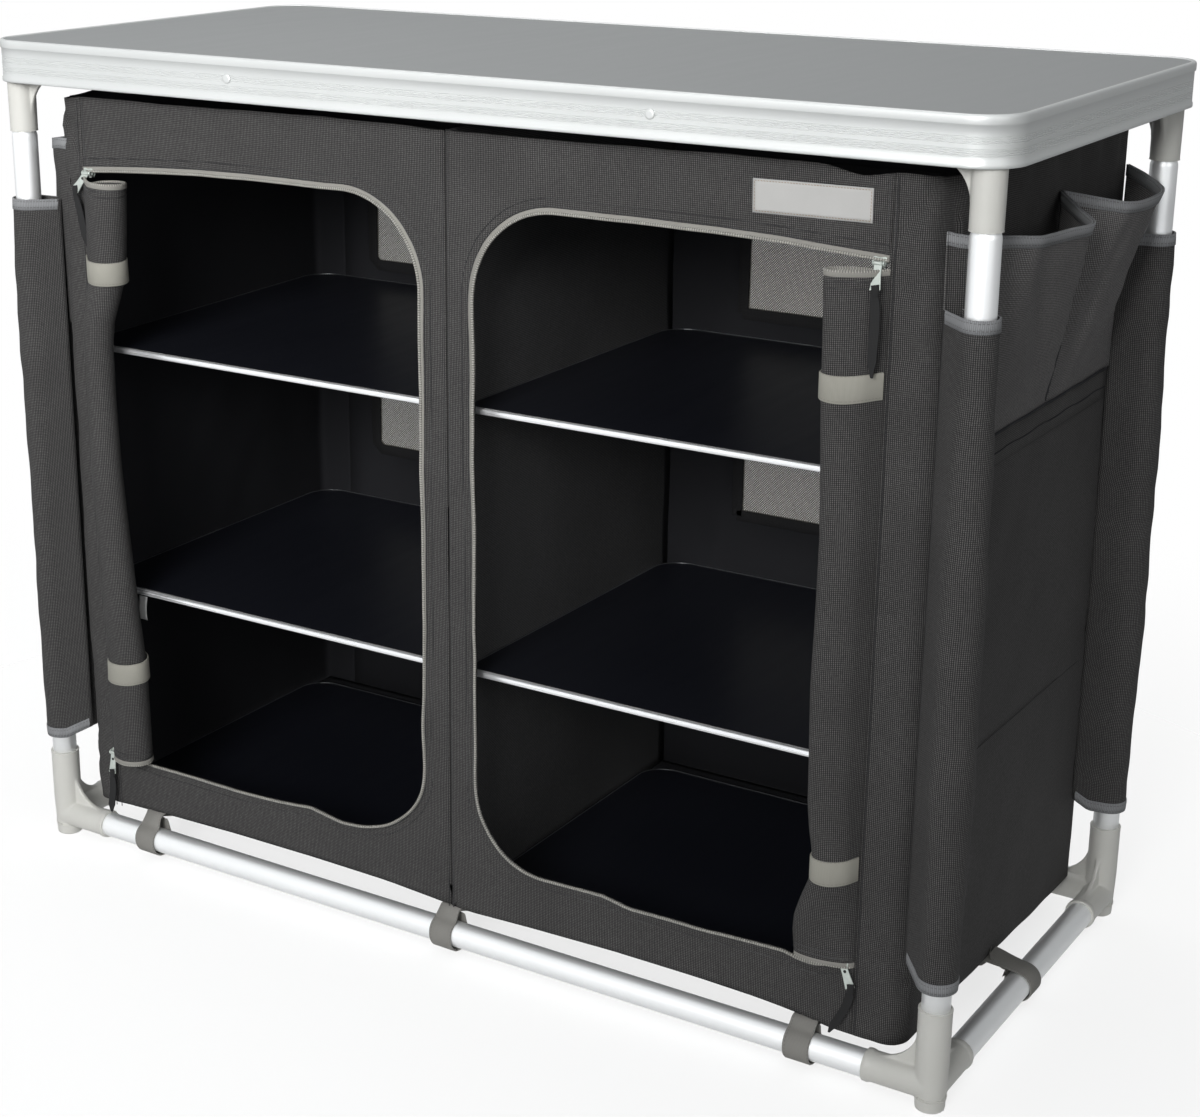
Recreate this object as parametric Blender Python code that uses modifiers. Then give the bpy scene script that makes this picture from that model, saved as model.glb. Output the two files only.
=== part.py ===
"""Camp kitchen cupboard: a worktop on a tube frame, with a cloth body hung in it.

Metres, +Z up. X runs along the worktop and Y from the front to the back. The
origin lies on the ground, under the middle of the worktop.
"""
import math

import bmesh
import bpy
from mathutils import Matrix, Vector
from mathutils.geometry import convex_hull_2d

OBJECT_NAME = "camp_kitchen_cupboard"

# Clearances and drawing steps
SEAT_GAP = 0.0003
OVERRUN = 0.004
WELD = 0.00001
TUBE_SIDES = 16
ARC_STEPS = 4
SMOOTH_ANGLE = math.radians(35)

# Worktop
TOP_WIDTH = 1.050
TOP_DEPTH = 0.475
TOP_HEIGHT = 0.847
TOP_CORNER_RADIUS = 0.038
BOARD_THICKNESS = 0.0052
BOARD_RECESS = 0.0010
RIM_HEIGHT = 0.0405
RIM_WALL = 0.0018
RIM_BEAD = 0.0012
RIM_BEAD_HEIGHT = 0.0085
RIM_LIP = 0.0047
RIM_LEDGE_REACH = 0.0085
RIM_LEDGE_THICKNESS = 0.0015
RIM_FOOT_BEAD = 0.0008
RIM_FOOT_HEIGHT = 0.0033

# Straps under the board, riveted to the rim
STRETCHER_INSET = 0.305
STRETCHER_WIDTH = 0.040
STRETCHER_THICKNESS = 0.0015
STRETCHER_DROP = 0.0255
STRETCHER_SETBACK = 0.0093
RIVET_RADIUS = 0.0025
RIVET_HEAD_RADIUS = 0.0045
RIVET_DROP = 0.0195

# Frame tubes
TUBE_RADIUS = 0.0125
TUBE_WALL = 0.0012
SWAGE_RADIUS = 0.0110
SWAGE_SHOULDER = 0.0030
LEG_INSET = 0.0240
LOWER_RAIL_Z = 0.0220
UPPER_RAIL_DROP = 0.0208
BORE_STOP = 0.0020

# Corner mouldings
SOCKET_RADIUS = 0.0147
ARM_RADIUS = 0.0143
COLLAR_RADIUS = 0.0151
COLLAR_LENGTH = 0.0060
ARM_LENGTH = 0.0600
BORE_START = 0.0180
LOWER_SOCKET_LENGTH = 0.0735
UPPER_SOCKET_LENGTH = 0.0690
UPPER_SOCKET_RADIUS = 0.0137
UPPER_SWAGE_DEPTH = 0.0450
WEB_RADIUS = 0.0370
WEB_THICKNESS = 0.0050
FOOT_TOP_RADIUS = 0.0140
FOOT_BASE_RADIUS = 0.0125
LEG_SOCKET_FLOOR = 0.0080

# Cloth body
CLOTH = 0.0020
LEG_TO_SIDE = 0.031
LEG_TO_FRONT = 0.0055
BODY_BOTTOM = 0.042
BODY_TOP_DROP = 0.047
BODY_CORNER_RADIUS = 0.020
CORNER_STRIP_WIDTH = 0.040

# Door openings and their zips
POST_HALF_WIDTH = 0.030
OPENING_RISE = 0.061
OPENING_DROP = 0.067
OPENING_RADIUS = 0.085
TAPE_WIDTH = 0.0065
TAPE_PROUD = 0.0012

# Net windows in the back
WINDOW_INNER_X = 0.092
WINDOW_INSET = 0.091
WINDOW_HEIGHT = 0.150
LOWER_WINDOW_DROP = 0.445
UPPER_WINDOW_DROP = 0.228
NET_MARGIN = 0.010
NET_THICKNESS = 0.0012
NET_STRAND = 0.0060
NET_COLUMNS = 7
NET_ROWS = 3

# Shelves and floor boards
SHELF_LEVEL_SHARES = (0.3212, 0.6583)
SHELF_THICKNESS = 0.0040
SHELF_SETBACK = 0.0198
SHELF_CORNER_RADIUS = 0.030
SHELF_EDGE_HEIGHT = 0.0052
SHELF_EDGE_DEPTH = 0.0060

# Webbing loops that hold the body to the rails
WEBBING = 0.0015
WEBBING_WIDTH = 0.025
LOOP_INSET = 0.091
LOOP_TIP_WIDTH = 0.0040

# Leg sleeves
SLEEVE_RADIUS = 0.0158
SLEEVE_FOLD = 0.0012
SLEEVE_FOLDS = 4
SLEEVE_BOTTOM_RISE = 0.0735
SLEEVE_TOP_DROP = 0.109
SLEEVE_HEM_RISE = 0.011
SLEEVE_ROWS = 7
SLEEVE_STEPS = 9
SLEEVE_SEW_ANGLES = (math.radians(-45), math.radians(-12))
SLEEVE_EMBED = 0.0010

# Rolled doors
ROLL_INSET = 0.0395
ROLL_STANDOFF = 0.0055
ROLL_RADIUS = 0.0207
ROLL_END_GAP = 0.012
NECK_REACH = 0.0051
BEND_INSET = 0.0173
DOOR_CLOTH = 0.0016
ROLL_PITCH = 0.0026
ROLL_TURNS = 2.6
ROLL_STEPS_A_TURN = 12
HINGE_TO_SEAM = 0.0013
HINGE_TAIL = 0.0006
HINGE_SETBACK = 0.001
LOWER_STRAP_RISE = 0.087
UPPER_STRAP_DROP = 0.096
ROLL_STRAP_LAP = 0.0002
ROLL_SWELL_SHARE = 0.07

# Side pockets
POCKET_DROP = 0.050
POCKET_DEPTH = 0.192
POCKET_SKIRT = 0.021
POCKET_BULGE = 0.0520
POCKET_RIM_SAG = 0.008
POCKET_INSET = 0.024
POCKET_SPLIT_Y = 0.0306
POCKET_SPLIT_GAP = 0.010
FRONT_REACH_SHARES = (0.0, 0.40, 0.89, 0.99, 1.0, 0.80, 0.51, 0.20, 0.0)
FRONT_ALONG_SHARES = (0.0, 0.18, 0.284, 0.424, 0.635, 0.806, 0.921, 0.985, 1.0)
REAR_REACH_SHARES = (0.0, 0.57, 0.91, 1.0, 1.0, 0.98, 0.70, 0.30, 0.0)
REAR_ALONG_SHARES = (0.0, 0.08, 0.165, 0.286, 0.488, 0.686, 0.875, 0.97, 1.0)
POCKET_FLARE_SHARES = (1.0, 0.84, 0.56, 0.24, 0.0)

# Zip sliders and pull tabs
SLIDER_INSET = 0.009
SLIDER_WIDTH = 0.012
SLIDER_HEIGHT = 0.010
SLIDER_MARGIN = 0.0005
SLIDER_PLATE = 0.0015
SLIDER_GRIP = 0.0036
LUG_WIDTH = 0.0016
LUG_STANDOFF = 0.0048
PIN_RADIUS = 0.0008
PIN_STANDOFF = 0.0028
EYE_RADIUS = 0.0020
EYE_BORE = 0.0011
TAB_LENGTH = 0.0210
TAB_THICKNESS = 0.0012
RIBBON_WIDTH = 0.0070
RIBBON_THICKNESS = 0.0016
RIBBON_LAP = 0.0020
UPPER_RIBBON_LENGTH = 0.065
LOWER_RIBBON_LENGTH = 0.037

# Bare label patch
LABEL_INSET = 0.0775
LABEL_WIDTH = 0.105
LABEL_HEIGHT = 0.028
LABEL_THICKNESS = 0.0012

# Places worked out from the sizes above
LEG_X = TOP_WIDTH / 2 - LEG_INSET
LEG_Y = TOP_DEPTH / 2 - LEG_INSET
UPPER_RAIL_Z = TOP_HEIGHT - UPPER_RAIL_DROP
STRETCHER_X = TOP_WIDTH / 2 - STRETCHER_INSET
BODY_HALF_WIDTH = LEG_X - LEG_TO_SIDE
BODY_HALF_DEPTH = LEG_Y - LEG_TO_FRONT
BODY_FRONT = -BODY_HALF_DEPTH
BODY_TOP = TOP_HEIGHT - BODY_TOP_DROP
SEAM_X = BODY_HALF_WIDTH - CORNER_STRIP_WIDTH
LOOP_X = BODY_HALF_WIDTH - LOOP_INSET
OPENING_BOTTOM = BODY_BOTTOM + OPENING_RISE
OPENING_TOP = BODY_TOP - OPENING_DROP
WINDOW_OUTER_X = BODY_HALF_WIDTH - WINDOW_INSET
WINDOW_BOTTOMS = (BODY_TOP - LOWER_WINDOW_DROP, BODY_TOP - UPPER_WINDOW_DROP)
SHELF_LEVELS = tuple(BODY_BOTTOM + (BODY_TOP - BODY_BOTTOM) * share
                     for share in SHELF_LEVEL_SHARES)
SHELF_FRONT_Y = BODY_FRONT + SHELF_SETBACK
SLEEVE_BOTTOM = BODY_BOTTOM + SLEEVE_BOTTOM_RISE
SLEEVE_TOP = BODY_TOP - SLEEVE_TOP_DROP
ROLL_X = SEAM_X - ROLL_INSET
ROLL_Y = BODY_FRONT - ROLL_STANDOFF
ROLL_BOTTOM = OPENING_BOTTOM + ROLL_END_GAP
ROLL_TOP = OPENING_TOP - ROLL_END_GAP
ROLL_STRAP_LEVELS = (ROLL_BOTTOM + LOWER_STRAP_RISE, ROLL_TOP - UPPER_STRAP_DROP)
BEND_X = SEAM_X - BEND_INSET
HINGE_Y = BODY_FRONT + HINGE_SETBACK
POCKET_TOP = BODY_TOP - POCKET_DROP
POCKET_SEAM = POCKET_TOP - POCKET_DEPTH
POCKET_BOTTOM = POCKET_SEAM - POCKET_SKIRT
FRONT_POCKET_Y = (BODY_FRONT + POCKET_INSET, POCKET_SPLIT_Y - POCKET_SPLIT_GAP / 2)
REAR_POCKET_Y = (POCKET_SPLIT_Y + POCKET_SPLIT_GAP / 2, BODY_HALF_DEPTH - POCKET_INSET)
POCKET_PLANS = ((FRONT_POCKET_Y, FRONT_REACH_SHARES, FRONT_ALONG_SHARES),
                (REAR_POCKET_Y, REAR_REACH_SHARES, REAR_ALONG_SHARES))
SLIDER_X = SEAM_X - SLIDER_INSET
LABEL_X = SEAM_X - LABEL_INSET
LABEL_Z = (OPENING_TOP + BODY_TOP) / 2

# Which way each plate's outline and thickness run
PLANES = {
    "XY": Matrix.Identity(4),
    "XZ": Matrix(((1, 0, 0, 0), (0, 0, 1, 0), (0, 1, 0, 0), (0, 0, 0, 1))),
    "YZ": Matrix(((0, 0, 1, 0), (1, 0, 0, 0), (0, 1, 0, 0), (0, 0, 0, 1))),
}

SIDES = {"left": -1, "right": 1}
ENDS = {"front": -1, "back": 1}


def clear_scene():
    """Remove whatever the scene holds."""
    for obj in list(bpy.data.objects):
        bpy.data.objects.remove(obj, do_unlink=True)


def new_collection(name):
    """Add a collection to the scene."""
    collection = bpy.data.collections.new(name)
    bpy.context.scene.collection.children.link(collection)
    return collection


def principled(name, colour, roughness, metallic=0.0):
    """Make a plain surface of one colour."""
    material = bpy.data.materials.new(name)
    material.use_nodes = True
    shader = material.node_tree.nodes["Principled BSDF"]
    shader.inputs["Base Color"].default_value = (*colour, 1.0)
    shader.inputs["Roughness"].default_value = roughness
    shader.inputs["Metallic"].default_value = metallic
    material.diffuse_color = (*colour, 1.0)
    return material


def make_materials():
    """Make every finish of the cupboard."""
    return {
        "tube": principled("satin_aluminium", (0.78, 0.79, 0.80), 0.32, 1.0),
        "rim": principled("rim_aluminium", (0.82, 0.83, 0.83), 0.38, 1.0),
        "moulding": principled("grey_moulding", (0.58, 0.57, 0.53), 0.45),
        "board": principled("grey_board", (0.29, 0.30, 0.29), 0.5),
        "steel": principled("zinc_steel", (0.55, 0.56, 0.57), 0.4, 1.0),
        "cloth": principled("charcoal_cloth", (0.070, 0.068, 0.066), 0.85),
        "lining": principled("black_cloth", (0.016, 0.016, 0.018), 0.9),
        "net": principled("beige_net", (0.30, 0.30, 0.25), 0.8),
        "shelf": principled("black_board", (0.020, 0.021, 0.026), 0.35),
        "webbing": principled("grey_webbing", (0.36, 0.35, 0.31), 0.75),
        "zip": principled("zip_metal", (0.62, 0.64, 0.60), 0.35, 0.9),
        "ribbon": principled("black_ribbon", (0.02, 0.02, 0.02), 0.7),
        "label": principled("bare_label", (0.80, 0.80, 0.78), 0.5),
    }


def link(obj, collection, material, smooth=True):
    """Put a finished piece in its collection with its material and shading."""
    collection.objects.link(obj)
    obj.data.materials.clear()
    obj.data.materials.append(material)
    if smooth:
        obj.data.shade_smooth()
        obj.data.set_sharp_from_angle(angle=SMOOTH_ANGLE)
    return obj


def object_from_bmesh(name, shape):
    """Close a bmesh into an object that is in no collection yet."""
    bmesh.ops.recalc_face_normals(shape, faces=shape.faces)
    mesh = bpy.data.meshes.new(name)
    shape.to_mesh(mesh)
    shape.free()
    return bpy.data.objects.new(name, mesh)


def bake(obj):
    """Swap an object's mesh for its evaluated one and drop its modifiers."""
    stage = bpy.context.scene.collection
    stage.objects.link(obj)
    graph = bpy.context.evaluated_depsgraph_get()
    mesh = bpy.data.meshes.new_from_object(obj.evaluated_get(graph))
    stage.objects.unlink(obj)
    obj.modifiers.clear()
    old = obj.data
    obj.data = mesh
    mesh.name = obj.name
    if isinstance(old, bpy.types.Mesh):
        bpy.data.meshes.remove(old)
    return obj


def boolean(target, tool, operation):
    """Join or cut with a tool that is used up by it."""
    stage = bpy.context.scene.collection
    stage.objects.link(tool)
    tool.hide_render = True
    tool.display_type = "WIRE"
    modifier = target.modifiers.new(operation.lower(), "BOOLEAN")
    modifier.operation = operation
    modifier.solver = "EXACT"
    modifier.object = tool
    bake(target)
    bpy.data.objects.remove(tool, do_unlink=True)
    return target


def join(target, *tools):
    """Union several solids into the first."""
    for tool in tools:
        boolean(target, tool, "UNION")
    return target


def cut(target, *tools):
    """Cut several solids out of the first."""
    for tool in tools:
        boolean(target, tool, "DIFFERENCE")
    return target


def plate(name, loops, low, high, plane="XY"):
    """Fill outlines, holes after the outer one, between two levels of a plane."""
    shape = bmesh.new()
    edges = []
    for loop in loops:
        ring = [shape.verts.new((u, v, low)) for u, v in loop]
        edges += [shape.edges.new(pair) for pair in zip(ring, ring[1:] + ring[:1])]
    if len(loops) == 1:
        shape.faces.new(ring)
    else:
        bmesh.ops.triangle_fill(shape, use_beauty=True, edges=edges)
    grown = bmesh.ops.extrude_face_region(shape, geom=shape.faces[:])["geom"]
    raised = [item for item in grown if isinstance(item, bmesh.types.BMVert)]
    bmesh.ops.translate(shape, vec=(0, 0, high - low), verts=raised)
    bmesh.ops.transform(shape, matrix=PLANES[plane], verts=shape.verts)
    return object_from_bmesh(name, shape)


def box(name, low, high):
    """Make a box between two corners."""
    size = Vector(high) - Vector(low)
    middle = (Vector(high) + Vector(low)) / 2
    shape = bmesh.new()
    place = Matrix.Translation(middle) @ Matrix.Diagonal((*size, 1))
    bmesh.ops.create_cube(shape, size=1.0, matrix=place)
    return object_from_bmesh(name, shape)


def rod(name, start, end, radius, end_radius=None, sides=TUBE_SIDES):
    """Make a cylinder, or a cone, from one point to another."""
    start, end = Vector(start), Vector(end)
    along = end - start
    turn = Vector((0, 0, 1)).rotation_difference(along).to_matrix().to_4x4()
    place = Matrix.Translation((start + end) / 2) @ turn
    shape = bmesh.new()
    bmesh.ops.create_cone(
        shape, cap_ends=True, segments=sides, radius1=radius,
        radius2=radius if end_radius is None else end_radius,
        depth=along.length, matrix=place)
    return object_from_bmesh(name, shape)


def turned(name, profile, sides=TUBE_SIDES):
    """Turn a closed profile of radius and height about Z."""
    shape = bmesh.new()
    points = [shape.verts.new((radius, 0, height)) for radius, height in profile]
    for first, second in zip(points, points[1:] + points[:1]):
        shape.edges.new((first, second))
    mesh = bpy.data.meshes.new(name)
    shape.to_mesh(mesh)
    shape.free()
    obj = bpy.data.objects.new(name, mesh)
    screw = obj.modifiers.new("turn", "SCREW")
    screw.steps = sides
    screw.render_steps = sides
    screw.use_merge_vertices = True
    screw.merge_threshold = WELD
    screw.use_normal_calculate = True
    bake(obj)
    shape = bmesh.new()
    shape.from_mesh(obj.data)
    bmesh.ops.recalc_face_normals(shape, faces=shape.faces)
    shape.to_mesh(obj.data)
    shape.free()
    return obj


def loft(name, rows, thickness, keep=lambda row, column: True):
    """Join rows of points into a sheet and give it a thickness."""
    shape = bmesh.new()
    grid = [[shape.verts.new(point) for point in row] for row in rows]
    for r, (lower, upper) in enumerate(zip(grid, grid[1:])):
        for c in range(len(lower) - 1):
            if keep(r, c):
                shape.faces.new((lower[c], lower[c + 1], upper[c + 1], upper[c]))
    loose = [vert for vert in shape.verts if not vert.link_faces]
    bmesh.ops.delete(shape, geom=loose, context="VERTS")
    obj = object_from_bmesh(name, shape)
    solid = obj.modifiers.new("thickness", "SOLIDIFY")
    solid.thickness = thickness
    solid.offset = 0
    solid.use_even_offset = True
    return bake(obj)


def arc(centre, radius, start, end, steps=ARC_STEPS):
    """Give points along an arc, both ends in, angles in degrees."""
    angles = [math.radians(start + (end - start) * i / steps) for i in range(steps + 1)]
    return [(centre[0] + radius * math.cos(a), centre[1] + radius * math.sin(a)) for a in angles]


def rounded_rectangle(half_u, half_v, radius, centre=(0, 0)):
    """Give a rectangle's outline with four round corners."""
    points = []
    for sign_u, sign_v, start in ((1, 1, 0), (-1, 1, 90), (-1, -1, 180), (1, -1, 270)):
        middle = (centre[0] + sign_u * (half_u - radius), centre[1] + sign_v * (half_v - radius))
        points += arc(middle, radius, start, start + 90)
    return points


def mirrored(name, obj, flip_x, flip_y):
    """Copy a piece across the middle planes."""
    shape = bmesh.new()
    shape.from_mesh(obj.data)
    scale = Matrix.Diagonal((-1 if flip_x else 1, -1 if flip_y else 1, 1, 1))
    bmesh.ops.transform(shape, matrix=scale, verts=shape.verts)
    return object_from_bmesh(name, shape)


def set_origin(obj, point):
    """Move a piece's origin to a point and leave its shape where it is."""
    obj.data.transform(Matrix.Translation(-Vector(point)))
    obj.location = point
    return obj


def make_corner_moulding(name, rail_z, way, socket_radius, socket_length, bore_radius, bore_end):
    """Make the front left three-way corner: a leg socket and two rail arms.

    way is 1 where the leg rises from the corner and -1 where it hangs below.
    bore_end is how far the leg's bore stops short of the rail axis.
    """
    hub = Vector((-LEG_X, -LEG_Y, rail_z))
    up = Vector((0, 0, way))
    mouth = hub + up * socket_length
    corner = rod(name, hub, mouth, socket_radius)
    for arm in (Vector((1, 0, 0)), Vector((0, 1, 0))):
        end = hub + arm * ARM_LENGTH
        join(corner, rod("arm", hub, end, ARM_RADIUS))
        if way > 0:
            collar_end = end + arm * SEAT_GAP
            join(corner, rod("collar", end - arm * COLLAR_LENGTH, collar_end, COLLAR_RADIUS))
    join(corner, rod("cap", hub - up * TUBE_RADIUS, hub + up * TUBE_RADIUS, socket_radius))
    inner = (socket_radius + WEB_RADIUS, ARM_RADIUS + WEB_RADIUS)
    web = [(0, 0), (inner[0], 0)] + arc(inner, WEB_RADIUS, 270, 180) + [(0, inner[1])]
    for plane, origin in (("XZ", (hub.x, hub.y)), ("YZ", (hub.y, hub.x))):
        outline = [(origin[0] + u, rail_z + way * v) for u, v in web]
        middle = origin[1]
        join(corner, plate("web", [outline], middle - WEB_THICKNESS / 2,
                           middle + WEB_THICKNESS / 2, plane))
    if way > 0:
        join(corner, rod("foot", (hub.x, hub.y, 0), hub, FOOT_BASE_RADIUS, FOOT_TOP_RADIUS))
    cut(corner, rod("leg_bore", hub + up * bore_end, mouth + up * OVERRUN, bore_radius))
    for arm in (Vector((1, 0, 0)), Vector((0, 1, 0))):
        cut(corner, rod("rail_bore", hub + arm * BORE_START,
                        hub + arm * (ARM_LENGTH + OVERRUN), TUBE_RADIUS + SEAT_GAP))
    return corner


def make_corners(parts, materials):
    """Make the four lower and the four upper corner mouldings."""
    lower = make_corner_moulding("lower", LOWER_RAIL_Z, 1, SOCKET_RADIUS, LOWER_SOCKET_LENGTH,
                                 TUBE_RADIUS + SEAT_GAP, LEG_SOCKET_FLOOR)
    upper = make_corner_moulding("upper", UPPER_RAIL_Z, -1, UPPER_SOCKET_RADIUS,
                                 UPPER_SOCKET_LENGTH, SWAGE_RADIUS + SEAT_GAP,
                                 UPPER_SOCKET_LENGTH - UPPER_SWAGE_DEPTH)
    for level, pattern in (("lower", lower), ("upper", upper)):
        for end, end_sign in ENDS.items():
            for side, side_sign in SIDES.items():
                name = f"{level}_corner_{end}_{side}"
                corner = mirrored(name, pattern, side_sign > 0, end_sign > 0)
                link(corner, parts, materials["moulding"])
        bpy.data.objects.remove(pattern, do_unlink=True)


def make_legs(parts, materials):
    """Make the legs, drawn in at the top where they enter the upper corners."""
    bottom = LOWER_RAIL_Z + LEG_SOCKET_FLOOR + BORE_STOP
    socket_mouth = UPPER_RAIL_Z - UPPER_SOCKET_LENGTH
    shoulder = socket_mouth - SEAT_GAP
    top = socket_mouth + UPPER_SWAGE_DEPTH - BORE_STOP
    neck = TUBE_RADIUS - SWAGE_RADIUS
    outer = [(SWAGE_RADIUS, top), (SWAGE_RADIUS, shoulder), (SWAGE_RADIUS, shoulder - neck / 2),
             (TUBE_RADIUS - neck / 4, shoulder - SWAGE_SHOULDER / 2),
             (TUBE_RADIUS, shoulder - SWAGE_SHOULDER), (TUBE_RADIUS, bottom)]
    inner = [(TUBE_RADIUS - TUBE_WALL, bottom), (TUBE_RADIUS - TUBE_WALL, shoulder - SWAGE_SHOULDER),
             (SWAGE_RADIUS - TUBE_WALL, shoulder - neck / 2), (SWAGE_RADIUS - TUBE_WALL, top)]
    for end, end_sign in ENDS.items():
        for side, side_sign in SIDES.items():
            leg = turned(f"leg_{end}_{side}", outer + inner)
            leg.location = (side_sign * LEG_X, end_sign * LEG_Y, 0)
            link(leg, parts, materials["tube"])


def make_rails(parts, materials):
    """Make the straight tubes between the corners, at both levels."""
    inset = BORE_START + BORE_STOP
    for level, height in (("lower", LOWER_RAIL_Z), ("upper", UPPER_RAIL_Z)):
        for place, half, turn, spot in (
                ("front", LEG_X - inset, Matrix.Rotation(math.pi / 2, 4, "Y"), (0, -LEG_Y)),
                ("back", LEG_X - inset, Matrix.Rotation(math.pi / 2, 4, "Y"), (0, LEG_Y)),
                ("left", LEG_Y - inset, Matrix.Rotation(math.pi / 2, 4, "X"), (-LEG_X, 0)),
                ("right", LEG_Y - inset, Matrix.Rotation(math.pi / 2, 4, "X"), (LEG_X, 0))):
            bore = TUBE_RADIUS - TUBE_WALL
            rail = turned(f"{level}_rail_{place}", [(TUBE_RADIUS, half), (TUBE_RADIUS, -half),
                                                   (bore, -half), (bore, half)])
            rail.matrix_world = Matrix.Translation((*spot, height)) @ turn
            link(rail, parts, materials["tube"])


def make_rivet_hole(x, end_sign):
    """Make the cutter for one rivet's hole through the rim."""
    z = TOP_HEIGHT - RIVET_DROP
    outside = TOP_DEPTH / 2 + OVERRUN
    inside = TOP_DEPTH / 2 - RIM_BEAD - RIM_WALL - OVERRUN
    return rod("rivet_hole", (x, end_sign * inside, z), (x, end_sign * outside, z),
               RIVET_RADIUS + SEAT_GAP, sides=TUBE_SIDES // 2)


def make_worktop(parts, materials):
    """Make the board, its extruded rim and the two straps under it."""
    board_top = TOP_HEIGHT - BOARD_RECESS
    board_bottom = board_top - BOARD_THICKNESS
    inset = RIM_LIP + SEAT_GAP
    board = plate("tabletop_board", [rounded_rectangle(
        TOP_WIDTH / 2 - inset, TOP_DEPTH / 2 - inset, TOP_CORNER_RADIUS - inset)],
        board_bottom, board_top)
    link(board, parts, materials["board"], smooth=False)

    web = RIM_BEAD
    inner = RIM_BEAD + RIM_WALL
    ledge_top = board_bottom - SEAT_GAP
    ledge_bottom = ledge_top - RIM_LEDGE_THICKNESS
    base = TOP_HEIGHT - RIM_HEIGHT
    profile = [
        (RIM_BEAD, TOP_HEIGHT), (0, TOP_HEIGHT - RIM_BEAD), (0, TOP_HEIGHT - RIM_BEAD_HEIGHT),
        (web, TOP_HEIGHT - RIM_BEAD_HEIGHT - RIM_BEAD), (web, base + RIM_FOOT_HEIGHT),
        (web - RIM_FOOT_BEAD, base + RIM_FOOT_HEIGHT - RIM_FOOT_BEAD), (web - RIM_FOOT_BEAD, base),
        (inner, base), (inner, ledge_bottom), (RIM_LEDGE_REACH, ledge_bottom),
        (RIM_LEDGE_REACH, ledge_top), (RIM_LIP, ledge_top), (RIM_LIP, TOP_HEIGHT),
    ]
    rings = [rounded_rectangle(TOP_WIDTH / 2 - depth, TOP_DEPTH / 2 - depth,
                               TOP_CORNER_RADIUS - depth) for depth, _ in profile]
    shape = bmesh.new()
    grid = [[shape.verts.new((u, v, height)) for u, v in ring]
            for ring, (_, height) in zip(rings, profile)]
    for first, second in zip(grid, grid[1:] + grid[:1]):
        for i, vert in enumerate(first):
            j = (i + 1) % len(first)
            shape.faces.new((vert, first[j], second[j], second[i]))
    rim = object_from_bmesh("tabletop_rim", shape)
    for side_sign in SIDES.values():
        for end_sign in ENDS.values():
            cut(rim, make_rivet_hole(side_sign * STRETCHER_X, end_sign))
    link(rim, parts, materials["rim"])

    for side, side_sign in SIDES.items():
        strap = make_stretcher(f"board_stretcher_{side}", side_sign * STRETCHER_X, ledge_top)
        link(strap, parts, materials["steel"], smooth=False)


def make_stretcher(name, x, under_board):
    """Make a flat strap across the underside, with its riveted ends."""
    reach = TOP_DEPTH / 2 - STRETCHER_SETBACK
    top = under_board
    low = top - STRETCHER_THICKNESS
    foot = top - STRETCHER_DROP
    outline = [(-reach, top), (-reach, foot), (-reach + STRETCHER_THICKNESS, foot),
               (-reach + STRETCHER_THICKNESS, low), (reach - STRETCHER_THICKNESS, low),
               (reach - STRETCHER_THICKNESS, foot), (reach, foot), (reach, top)]
    strap = plate(name, [outline], x - STRETCHER_WIDTH / 2, x + STRETCHER_WIDTH / 2, "YZ")
    rivet_z = TOP_HEIGHT - RIVET_DROP
    web_face = TOP_DEPTH / 2 - RIM_BEAD + SEAT_GAP
    for end_sign in ENDS.values():
        start = end_sign * (reach - STRETCHER_THICKNESS / 2)
        head_low = end_sign * web_face
        head_high = end_sign * TOP_DEPTH / 2
        shank = rod("shank", (x, start, rivet_z), (x, (head_low + head_high) / 2, rivet_z),
                    RIVET_RADIUS, sides=TUBE_SIDES // 2)
        head = rod("head", (x, head_low, rivet_z), (x, head_high, rivet_z),
                   RIVET_HEAD_RADIUS, sides=TUBE_SIDES // 2)
        join(strap, join(shank, head))
    return strap


def opening_edge(offset, edge=SEAM_X - SEAT_GAP):
    """Give the right door opening's edge on the post side, moved outwards."""
    left = POST_HALF_WIDTH - offset
    top = OPENING_TOP + offset
    bottom = OPENING_BOTTOM - offset
    radius = OPENING_RADIUS + offset
    steps = 2 * ARC_STEPS
    return ([(edge, top)] + arc((left + radius, top - radius), radius, 90, 180, steps)
            + arc((left + radius, bottom + radius), radius, 180, 270, steps) + [(edge, bottom)])


def make_front_panel(parts, materials):
    """Make the bands and the post of the front, with the zip tape round both openings."""
    edge = SEAM_X - SEAT_GAP
    right = [(edge, BODY_TOP - SEAT_GAP)] + opening_edge(0) + [(edge, BODY_BOTTOM)]
    left = [(-x, z) for x, z in reversed(right)]
    panel = plate("body_front_panel", [right + left], BODY_FRONT, BODY_FRONT + CLOTH, "XZ")
    for sign in SIDES.values():
        end = edge - SEAT_GAP
        strip = opening_edge(SEAT_GAP, end) + list(reversed(opening_edge(TAPE_WIDTH, end)))
        outline = [(sign * x, z) for x, z in strip]
        tape = plate("tape", [outline], BODY_FRONT - TAPE_PROUD, BODY_FRONT + CLOTH / 2, "XZ")
        join(panel, tape)
    link(panel, parts, materials["cloth"], smooth=False)


def window_boxes(sign):
    """Give the net windows of one side as x and z ranges."""
    low, high = sorted((sign * WINDOW_INNER_X, sign * WINDOW_OUTER_X))
    return [(low, high, bottom, bottom + WINDOW_HEIGHT) for bottom in WINDOW_BOTTOMS]


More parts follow.
